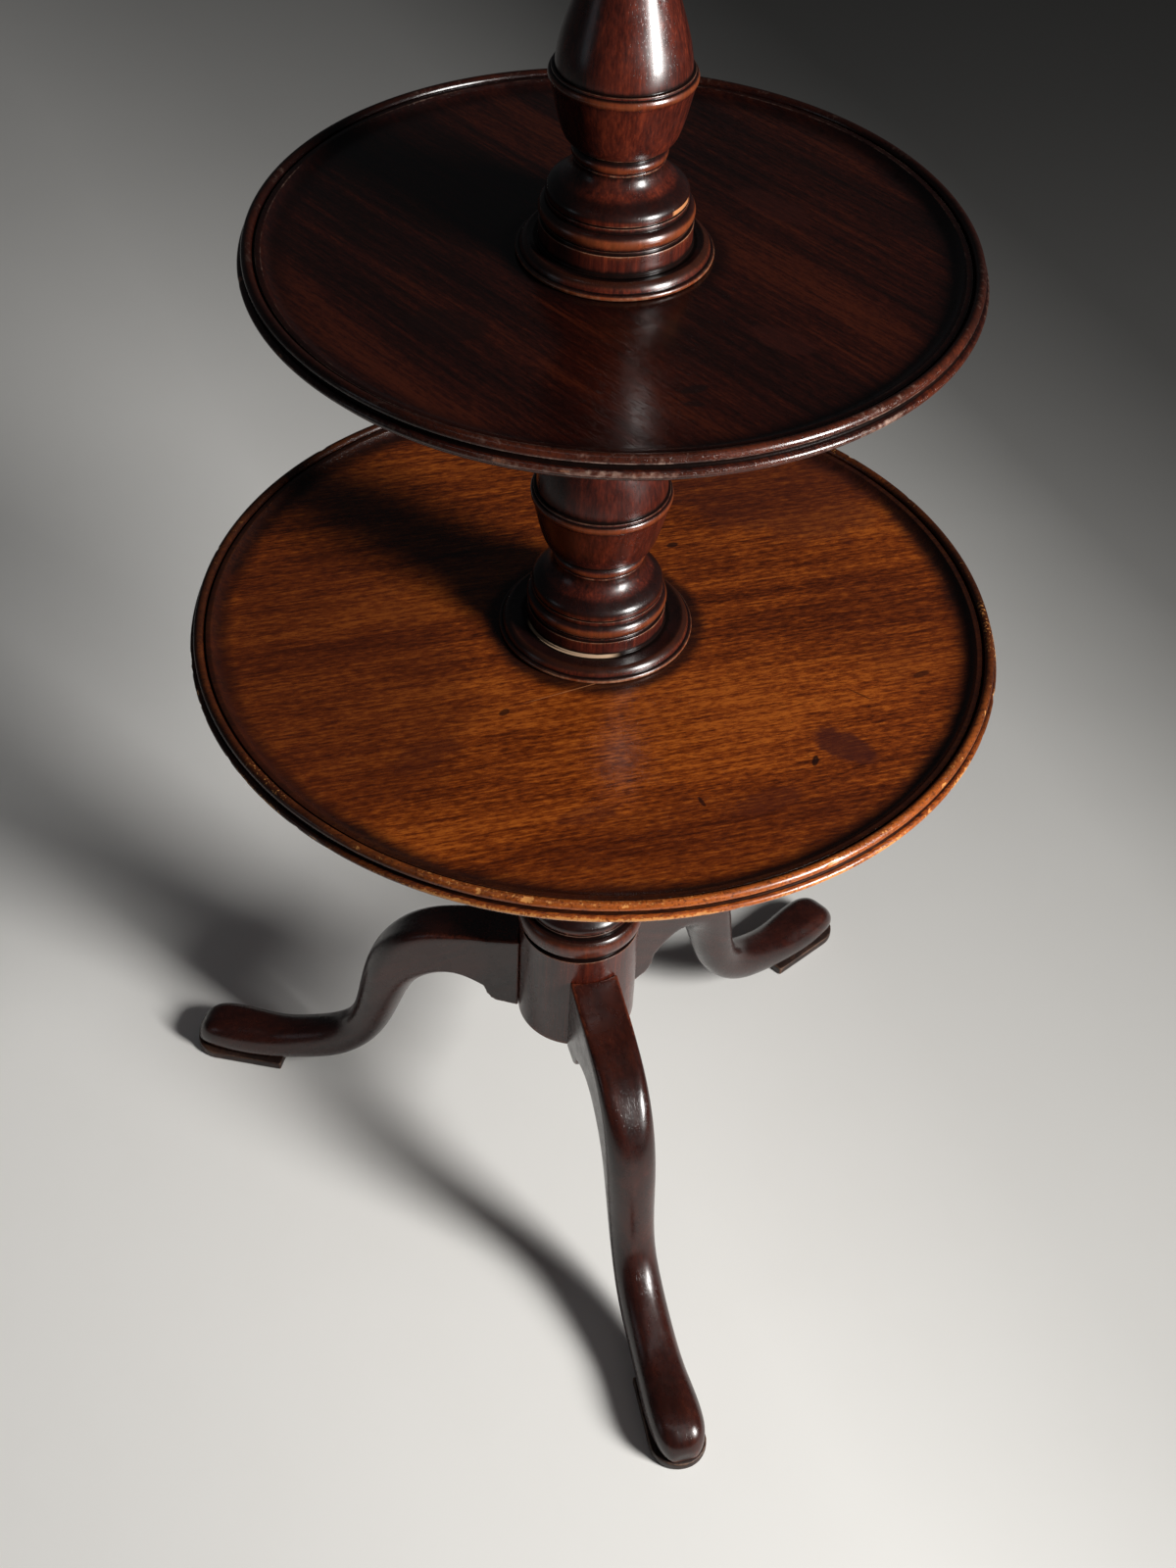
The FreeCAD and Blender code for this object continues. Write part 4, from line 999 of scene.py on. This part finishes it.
# %% Outline of the baluster
def baluster(s, torus_low, collar_top):
    """Moves from the foot of the torus up to the top of the collar."""
    torus_high = torus_low + s["torus_height"]
    groove_low = torus_high + BELL_PLINTH
    edge_low, dome_low = bell_edges(s, torus_low)
    step_low = dome_low + s["bell_height"]
    neck_low = step_low + BELL_STEP
    neck_high = neck_low + NECK_BEAD
    ring_low = neck_high + NECK_STEP
    cup_low = ring_low + CUP_STEP
    belly_low = cup_low + s["cup_height"]
    belly_high = belly_low + BELLY_BEAD
    step_high = belly_high + BELLY_STEP
    vase_low = step_high + BELLY_STEP
    collar_low = collar_top - COLLAR
    capital_low = collar_low - CAPITAL
    astragal_low = capital_low - ASTRAGAL
    torus_inner = s["torus"] - 3.6
    groove = s["bell"] - 1.1
    throat = s["neck"] - 2.1
    throat_ring = throat + 0.9
    cup_foot = throat + 2.2
    belly_foot = s["belly"] - 1.1
    belly_step = s["belly"] - 2.0
    shoulder = s["belly"] - 4.0
    astragal = s["waist"] + 4.5
    flat = s["collar"] - COLLAR_ROUND
    dome = s["bell_height"]
    gain = belly_foot - cup_foot
    loss, rise = shoulder - s["waist"], astragal_low - vase_low
    moves = bead(torus_inner, s["torus"], torus_low, torus_high) + fillet(s["bell"], torus_high, groove_low)
    moves += fillet(groove, groove_low, edge_low) + fillet(s["bell"], edge_low, dome_low)
    moves += [((s["bell"], dome_low + 0.36 * dome), (throat, dome_low + 0.38 * dome), (throat, step_low))]
    moves += fillet(throat_ring, step_low, neck_low) + bead(throat, s["neck"], neck_low, neck_high)
    moves += fillet(throat, neck_high, ring_low) + fillet(cup_foot, ring_low, cup_low)
    cup_poles = (cup_foot + 0.50 * gain, cup_low), (cup_foot + 0.65 * gain, cup_low + 0.48 * s["cup_height"])
    moves += [(*cup_poles, (belly_foot, belly_low))] + bead(belly_foot, s["belly"], belly_low, belly_high)
    moves += fillet(belly_step, belly_high, step_high) + fillet(shoulder, step_high, vase_low)
    vase_poles = (shoulder - 0.10 * loss, vase_low + 0.27 * rise), (s["waist"], vase_low + 0.55 * rise)
    moves += [(*vase_poles, (s["waist"], astragal_low))]
    moves += bead(s["waist"], astragal, astragal_low, capital_low)
    moves += leaves_upright((s["waist"], capital_low), (flat, collar_low))
    return moves + bead(flat, s["collar"], collar_low, collar_top)


# %% Outline below and above the baluster
def upper_section(s, rim_below):
    """Moves from the tenon's foot up through the moulded disc to the torus."""
    shoulder = rim_below - COLLAR_DROP
    base_low, ring_high, ogee_high, band_low, band_high, torus_low = disc_heights(s, rim_below)
    ring_inner = s["base"] - 1.2
    band = s["torus"] - 0.5
    band_step = band - 1.8
    band_foot = (band + 0.7, band_low + BAND_FLARE)
    foot, edge = (s["base"] - 2.6, ring_high), (s["base"] - 7.2, ogee_high)
    moves = to((TENON, shoulder - TENON_LENGTH), (TENON, shoulder), (JOURNAL, shoulder), (JOURNAL, base_low))
    moves += bead(ring_inner, s["base"], base_low, ring_high) + to(foot) + leaves_upright(foot, edge)
    moves += arrives_level(edge, (band_foot[0], band_low)) + to(band_foot)
    return moves + fillet(band, band_foot[1], band_high) + fillet(band_step, band_high, torus_low)


def mortise(collar_top):
    """Moves down into the collar, where the next section's tenon goes."""
    radius, floor_height = TENON + TENON_GAP, collar_top - MORTISE_DEPTH
    return to((radius, collar_top), (radius, floor_height), (0, floor_height))


# %% [markdown]
# ## Polish of the column
# Nobody washes a column, so it kept its dark polish, with grime in every groove. In two places the polish
# is gone from part of a ring: a pale band at the foot of the middle section, and a chip on the edge of the
# upper bell. A number in the mesh would spread over the faces beside the ring. So these two are written as
# heights, radii and bearings, and the shader works out which points lie between them.

# %% Finish of the column
FADE = 0.0002        # metres over which a ring's lower and upper edge blur
SIDE_FADE = 0.0003   # and its inner and outer edge


def worn_rings(rings):
    """A step for the mahogany recipe, where the polish is gone from part of a ring. Rings are (low, high,
    inner radius, outer radius, bearing, reach each way, colour, strength), in metres and degrees."""
    def step(f, colour):
        here = f.here()
        flat = f.node("VectorMath", {0: here, 1: (1.0, 1.0, 0.0)}, operation="MULTIPLY")
        radius = f.measure("LENGTH", flat)
        height = f.node("SeparateXYZ", {"Vector": here}, output="Z")
        frayed = f.times(f.less(f.noise(here, 240.0, 4.0, 0.7), 0.5), 0.0016)
        for low, high, inner, outer, bearing, reach, shade, strength in rings:
            toward = (math.cos(math.radians(bearing)), math.sin(math.radians(bearing)), 0.0)
            ahead = f.measure("DOT_PRODUCT", flat, toward)
            facing = f.node("Math", {0: ahead, 1: radius}, operation="DIVIDE")
            inside = f.between(facing, math.cos(math.radians(reach)), math.cos(math.radians(0.75 * reach)))
            sides = ((height, low - FADE, low + FADE), (height, high + FADE, high - FADE),
                     (radius, inner, inner + SIDE_FADE), (radius, outer, outer - SIDE_FADE))
            for value, start, full in sides:
                inside = f.times(inside, f.between(f.sum(value, f.times(frayed, 0.25)), start, full))
            colour = f.mix(f.times(inside, strength), colour, shade)
        return colour
    return step


band_foot = disc_heights(SECTIONS["middle"], bottom_rim)[3] * MM
bell_edge = bell_edges(SECTIONS["upper"], disc_heights(SECTIONS["upper"], middle_rim)[-1])[0] * MM
bald_rings = worn_rings([
    (band_foot - 0.0004, band_foot + 0.0019, 0.0490, 0.0512, -134, 50, srgb(196, 166, 138), 0.66),
    (bell_edge + 0.0006, bell_edge + 0.0034, 0.0425, 0.0455, -43, 15, srgb(190, 128, 84), 0.70),
])
# The column's pale edge colour paints the highlight along its rings as well as their wear.
column_polish = mahogany(
    "column_mahogany", [srgb(28, 9, 7), srgb(46, 15, 10), srgb(66, 23, 14), srgb(94, 36, 20)],
    srgb(176, 92, 46), figure=(2.5, 40.0), mottle=0.8, pores=0.40, gloss=(0.24, 0.34), crown_glow=0.22,
    depth=0.4, spread=0.18, soil_and_shade=(0.86, srgb(15, 7, 7)), edge_wear_and_highlight=srgb(150, 112, 88), grime_reach=1.4,
    coat=0.25, shares=(0.24, 0.26, 0.30, 0.20), marks=bald_rings)

# %% [markdown]
# ## The three turnings
# Wood that was turned round dries to a slight oval, and knocks leave shallow dents. The rings that look up
# are made darker, and so is the lower part of each bell, while its upper part stays nearly clean. These are
# worked out from the outline itself, so that they stay in place when a moulding moves.

# %% Dents and darkening
DENTS, DENT_TALLNESS = 26, 1.3
DRYING = 0.18            # millimetres that the oval takes off each way
SHOWN_FROM = JOURNAL + 2.5                 # the journal and the tenon inside this radius stay true
LEDGE_DARKENING, LEDGE_FROM, LEDGE_RANGE = 0.9, 0.25, 0.4    # darkening, and how much a ring looks up to take it
# How dark the lower part of each bell is made, and how dark its upper part.
LOWER_BELL_DARKENING, UPPER_BELL_DARKENING = 0.95, 0.1
DARKENING_BLUR = 3.0          # millimetres


def dents(count, tallness):
    """Carving step: shallow knocks, and the slight oval that drying gives a turning."""
    hits = []
    for _ in range(count):
        hits.append((random.uniform(0, 2 * math.pi), random.random(), random.uniform(1.5, 4.0),
                     random.uniform(0.15, 0.5)))
    start = random.uniform(0, 2 * math.pi)

    def carve(r, z, turn):
        shown = r > SHOWN_FROM
        cut = np.zeros_like(r)
        low, high = z.min(), z.max()
        for angle, share, wide, deep in hits:
            aside = (turn - angle + np.pi) % (2 * np.pi) - np.pi
            off = (aside * r / wide) ** 2 + ((z - low - share * (high - low)) / (tallness * wide)) ** 2
            cut = np.maximum(cut, deep * np.clip(1 - off, 0, 1))
        oval_loss = DRYING * (1 + np.cos(2 * turn + start))
        return r - (cut + oval_loss) * shown, z, np.clip(cut * 0.6, 0, 1)
    return carve


def darkening_on(rows, segments, darkened, kept_clean):
    """Darkening on the rings which look up, for every corner of a stem with a pole at both ends. Between the
    heights darkened the whole ring is dark, and between the heights kept_clean it stays nearly clean."""
    looks_up, height = outward(rows[:, :2])[1:-1, 1], rows[1:-1, 1]
    darker = LEDGE_DARKENING * np.clip((looks_up - LEDGE_FROM) / LEDGE_RANGE, 0, 1)
    for (low, high), amount in ((darkened, LOWER_BELL_DARKENING), (kept_clean, UPPER_BELL_DARKENING)):
        share = np.clip(np.minimum(height - low, high - height) / DARKENING_BLUR + 0.5, 0, 1)
        darker += (amount - darker) * share
    return np.concatenate([[0.0], np.repeat(darker, segments), [0.0]])


# %% Turn the column
STEM_SEGMENTS = 176
BELL_DARK_SHARE = 0.42       # of the bell's height, from its foot, that is made darker
BARREL, BARREL_LENGTH = 49.5, 104.0
BARREL_SHOULDER, BARREL_STEP = BARREL - 2.5, 4.5


def stem(node, s, foot, moves, torus_low):
    """One section of the column, named after the CAD node that it replaces."""
    rows = template((0, foot), moves)
    corners, faces, numbers = on_the_lathe(rows, STEM_SEGMENTS, carve=dents(DENTS, DENT_TALLNESS))
    x, y, z = corners.T
    numbers["timber"] = np.stack([z, x + s["stretch"], y], 1)
    _, dome_low = bell_edges(s, torus_low)
    dome_mid, dome_high = dome_low + BELL_DARK_SHARE * s["bell_height"], dome_low + s["bell_height"]
    numbers["soil_and_shade"] = darkening_on(rows, STEM_SEGMENTS, (dome_low, dome_mid), (dome_mid, dome_high))
    new_piece(node + "_turning", corners, faces, numbers, column_polish, "stand", "column_mahogany", node)
    print(node, "has", len(rows), "rings")


barrel_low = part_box("lower_pillar")[0][2] / MM
barrel_high = barrel_low + BARREL_LENGTH
torus_low = barrel_high + BARREL_STEP
collar_top = bottom_rim - COLLAR_DROP
moves = fillet(BARREL, barrel_low, barrel_high) + fillet(BARREL_SHOULDER, barrel_high, torus_low)
moves += baluster(SECTIONS["lower"], torus_low, collar_top) + mortise(collar_top)
stem("lower_pillar", SECTIONS["lower"], barrel_low, moves, torus_low)

for name, rim_below, rim_above in (("middle", bottom_rim, middle_rim), ("upper", middle_rim, top_rim)):
    s = SECTIONS[name]
    moves = upper_section(s, rim_below)
    torus_low = disc_heights(s, rim_below)[-1]
    collar_top = rim_above - COLLAR_DROP
    moves += baluster(s, torus_low, collar_top)
    if name == "middle":
        moves += mortise(collar_top)
    else:
        journal_end = top_rim - DISH_DEPTH - TOP_BORE_COVER
        moves += to((JOURNAL, collar_top), (JOURNAL, journal_end), (0, journal_end))
    stem(name + "_column", s, rim_below - COLLAR_DROP - TENON_LENGTH, moves, torus_low)

# %% [markdown]
# ## Legs and pads
# The legs were sawn from thick boards and shaped with rasps, so their edges are soft and never quite the
# same. The CAD solid has the right form but crisp edges. A voxel remesh of a copy gives even small faces,
# and a few rounds of smoothing take the edges down. Comparing that skin with one smoothed much longer shows
# which places stand proud, as the average did for the outlines.

# %% Soften a CAD solid
EXTRA_ROUNDS = 40


def skin_of(node, voxel, rounds):
    """Corners and faces of a copy of the CAD node after a voxel remesh and some rounds of smoothing."""
    copy = bpy.data.objects.new(node + "_skin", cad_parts[node].data.copy())
    bpy.context.scene.collection.objects.link(copy)
    remesh = copy.modifiers.new("remesh", "REMESH")
    remesh.mode = "VOXEL"
    remesh.voxel_size = voxel
    smooth = copy.modifiers.new("smooth", "SMOOTH")
    smooth.factor = 0.5
    results = []
    for iterations in (rounds, rounds + EXTRA_ROUNDS):
        smooth.iterations = iterations
        bpy.context.view_layer.update()
        evaluated = copy.evaluated_get(bpy.context.evaluated_depsgraph_get())
        mesh = evaluated.to_mesh()
        corners = np.empty(len(mesh.vertices) * 3, np.float32)
        mesh.vertices.foreach_get("co", corners)
        normals = np.empty_like(corners)
        mesh.vertex_normals.foreach_get("vector", normals)
        faces = [tuple(face.vertices) for face in mesh.polygons]
        results.append((corners.reshape(-1, 3).astype(float), normals.reshape(-1, 3).astype(float), faces))
        evaluated.to_mesh_clear()
    old = copy.data
    bpy.data.objects.remove(copy)
    bpy.data.meshes.remove(old)
    (corners, normals, faces), (far, _, _) = results
    proud = ((corners - far) * normals).sum(1) / MM
    return corners, faces, proud


# %% [markdown]
# The grain of each leg runs down its slope, from the barrel to the toe, as a joiner lays it out for
# strength. So the place in the plank is turned by that slope. The pads are the dull ends of old wood, dark
# with floor dirt.

# %% Finishes of the base
leg_polish = mahogany(
    "leg_mahogany", [srgb(23, 9, 7), srgb(34, 13, 10), srgb(48, 19, 13), srgb(64, 27, 17)], srgb(92, 42, 26),
    figure=(2.0, 26.0), mottle=0.5, pores=0.40, gloss=(0.22, 0.34), crown_glow=0.15, depth=0.6, spread=0.20,
    coat=0.15, shine=0.46)
pad_grime = mahogany(
    "pad_wood", [srgb(26, 15, 12), srgb(38, 22, 17), srgb(52, 32, 24), srgb(70, 46, 34)], srgb(96, 68, 50),
    figure=(3.0, 30.0), gloss=(0.45, 0.65), crown_glow=0.2)

# %% Legs and pads
LEG_BEARINGS = {"front": -90.0, "right": 30.0, "left": 150.0}
GRAIN_SLOPE = math.radians(-38.0)
LEG_STRETCH = 1.7                    # metres of plank from one leg to the next
EDGE_SHARE, CROWN_SHARE = 0.35, 0.5  # of how far the skin stands proud
LEG_VOXEL, LEG_ROUNDS = 0.0016, 4
PAD_VOXEL, PAD_ROUNDS = 0.0012, 3

for number, (side, bearing) in enumerate(LEG_BEARINGS.items()):
    turn = math.radians(bearing)
    for node, finish, slot, voxel, rounds in (
            (side + "_leg", leg_polish, "leg_mahogany", LEG_VOXEL, LEG_ROUNDS),
            (side + "_foot_pad", pad_grime, "pad_wood", PAD_VOXEL, PAD_ROUNDS)):
        corners, faces, proud = skin_of(node, voxel, rounds)
        out = corners[:, 0] * math.cos(turn) + corners[:, 1] * math.sin(turn)
        aside = -corners[:, 0] * math.sin(turn) + corners[:, 1] * math.cos(turn)
        up = corners[:, 2]
        along = out * math.cos(GRAIN_SLOPE) + up * math.sin(GRAIN_SLOPE)
        across = -out * math.sin(GRAIN_SLOPE) + up * math.cos(GRAIN_SLOPE)
        numbers = {"edge": proud * EDGE_SHARE, "crown": proud * CROWN_SHARE, "chip": np.zeros(len(corners)),
                   "timber": np.stack([along + LEG_STRETCH * number, across, aside], 1)}
        new_piece(node + "_shaped", corners, faces, numbers, finish, "stand", slot, node)

# %% [markdown]
# ## Hidden and small pieces
# Under each tray sits a round bearer of plain wood, held by four screws, on a leather washer. Under the
# barrel a forged iron star ties the legs together. Nobody polishes these, so their finishes are dull: raw
# wood that has darkened, oiled leather, and iron with brown rust. Their CAD shapes are plain and right as
# they are, so they only get a material.

# %% Finishes of the hidden pieces
BEARER_GRAIN = (0.0, 0.0, 0.4)       # turn of its grain in radians
raw_wood = mahogany(
    "bearer_wood", [srgb(56, 30, 19), srgb(80, 46, 28), srgb(104, 63, 38), srgb(130, 84, 52)],
    srgb(140, 92, 58), gloss=(0.55, 0.75), where=BEARER_GRAIN)

leather = Finish("washer_leather")
pebble = leather.specks(leather.here(), 900.0)
wear_patch = leather.noise(leather.here(), 60.0, 4.0)
washer_leather = leather.done(
    leather.ramp(wear_patch, [(0.3, srgb(38, 22, 14)), (0.7, srgb(84, 52, 32))]),
    leather.between(wear_patch, 0.3, 0.7, 0.5, 0.75), leather.relief(pebble, 0.0003, 0.5))

iron = Finish("brace_iron", Metallic=0.55)
scale_patch = iron.noise(iron.here(), 70.0, 6.0, 0.7)
hammer = iron.specks(iron.here(), 110.0)
brace_iron = iron.done(
    iron.ramp(scale_patch, [(0.35, srgb(38, 34, 32)), (0.52, srgb(62, 54, 49)), (0.66, srgb(92, 58, 38))]),
    iron.between(scale_patch, 0.35, 0.65, 0.42, 0.78), iron.relief(hammer, 0.0008, 0.5))

steel = Finish("screw_steel", Metallic=0.8)
tarnish = steel.noise(steel.here(), 400.0, 5.0, 0.6)
screw_steel = steel.done(
    steel.ramp(tarnish, [(0.35, srgb(66, 62, 58)), (0.6, srgb(112, 106, 98)), (0.75, srgb(96, 66, 46))]),
    steel.between(tarnish, 0.3, 0.7, 0.35, 0.6), steel.relief(tarnish, 0.0001, 0.4))

plain_nodes = {"leg_brace": brace_iron}
for tier in TIERS:
    plain_nodes[tier + "_tray_boss"] = raw_wood
    plain_nodes[tier + "_washer"] = washer_leather
for node, finish in plain_nodes.items():
    for material_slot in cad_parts[node].material_slots:
        material_slot.material = finish
    print("CAD node", node, "gets", finish.name)

# %% [markdown]
# ## Slotted screws
# Old wood screws have a single slot, and each stops at its own angle. The lathe turns the head, the shank
# and a thread of plain rings, which looks the same as a helix at this size. A saw, which is a thin box,
# then cuts the slot with a Boolean modifier, as a file cuts it in a real head.

# %% One screw
# Millimetres.
HEAD, HEAD_EDGE, HEAD_HEIGHT, SHANK = 4.4, 0.3, 2.4, 2.2
THREAD_START, THREAD_END, THREAD_PITCH = 4.0, 2.0, 1.6
CREST, ROOT = SHANK - 0.05, SHANK - 0.55
POINT, POINT_LENGTH = SHANK - 0.6, 1.5
SCREW_SEGMENTS = 40
SLOT_HALF_WIDTH, SLOT_DEPTH = 0.55, 1.1
SAW_HALF_LENGTH, SAW_BACK = 6, -2


def screw_blank(length):
    """Corners and faces of a countersunk screw without its slot. It points up from its head."""
    moves = to((HEAD - HEAD_EDGE, 0.0), (HEAD, HEAD_EDGE), (SHANK, HEAD_HEIGHT))
    z = HEAD_HEIGHT + THREAD_START
    while z < length - THREAD_END:
        moves += to((CREST, z), (ROOT, z + THREAD_PITCH / 2))
        z += THREAD_PITCH
    moves += to((POINT, length - POINT_LENGTH), (0, length))
    corners, faces, _ = on_the_lathe(template((0, 0.0), moves, longest=3.0), SCREW_SEGMENTS)
    return corners.tolist(), faces


def saw_box():
    """Corners and faces of the saw, lying across the head."""
    half_width, deep = SLOT_HALF_WIDTH * MM, SLOT_DEPTH * MM
    reach, back = SAW_HALF_LENGTH * MM, SAW_BACK * MM
    corners = [(x, y, z) for x in (-reach, reach) for y in (-half_width, half_width) for z in (back, deep)]
    return corners, [(0, 1, 3, 2), (4, 6, 7, 5), (0, 4, 5, 1), (2, 3, 7, 6), (0, 2, 6, 4), (1, 5, 7, 3)]


def slotted(length):
    """Corners and faces of a screw with its slot cut."""
    made = {}
    for name, (corners, faces) in (("screw_blank", screw_blank(length)), ("saw", saw_box())):
        mesh = bpy.data.meshes.new(name)
        mesh.from_pydata(corners, [], faces)
        made[name] = bpy.data.objects.new(name, mesh)
        bpy.context.scene.collection.objects.link(made[name])
    cut = made["screw_blank"].modifiers.new("slot", "BOOLEAN")
    cut.operation = "DIFFERENCE"
    cut.solver = "EXACT"
    cut.object = made["saw"]
    bpy.context.view_layer.update()
    evaluated = made["screw_blank"].evaluated_get(bpy.context.evaluated_depsgraph_get())
    mesh = evaluated.to_mesh()
    corners = np.array([vertex.co[:] for vertex in mesh.vertices])
    faces = [tuple(face.vertices) for face in mesh.polygons]
    evaluated.to_mesh_clear()
    for helper in made.values():
        data = helper.data
        bpy.data.objects.remove(helper)
        bpy.data.meshes.remove(data)
    return corners, faces


# %% Sets of screws
BEARER_CIRCLE, OUTER_CIRCLE, HUB_CIRCLE = 57.0 * MM, 54.5 * MM, 22.0 * MM
SHARP_FROM = math.radians(35)


def set_of_screws(name, places, body, node):
    """One object with a screw at each (x, y), each with its slot left at its own angle."""
    low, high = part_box(node)
    corners, faces = slotted((high[2] - low[2]) / MM)
    all_corners, all_faces = [], []
    for i, (x, y) in enumerate(places):
        turn = random.uniform(0, math.pi)
        c, s = math.cos(turn), math.sin(turn)
        turned_x = c * corners[:, 0] - s * corners[:, 1]
        turned_y = s * corners[:, 0] + c * corners[:, 1]
        all_corners.append(np.stack([turned_x + x, turned_y + y, corners[:, 2] + low[2]], 1))
        all_faces += [tuple(v + i * len(corners) for v in face) for face in faces]
    piece = new_piece(
        name, np.concatenate(all_corners), all_faces, {}, screw_steel, body, "screw_steel", node)
    piece.data.set_sharp_from_angle(angle=SHARP_FROM)


def around(radius, turn):
    """Place on a circle round the column's axis."""
    return radius * math.cos(turn), radius * math.sin(turn)


quarter_places = [around(BEARER_CIRCLE, i * math.pi / 2) for i in range(4)]
for tier in TIERS:
    set_of_screws(tier + "_bearer_screws", quarter_places, tier + "_tier", tier + "_boss_screws")

star_places = []
for bearing in LEG_BEARINGS.values():
    star_places.append(around(OUTER_CIRCLE, math.radians(bearing)))
    star_places.append(around(HUB_CIRCLE, math.radians(bearing + 60.0)))
set_of_screws("star_screws", star_places, "stand", "brace_screws")
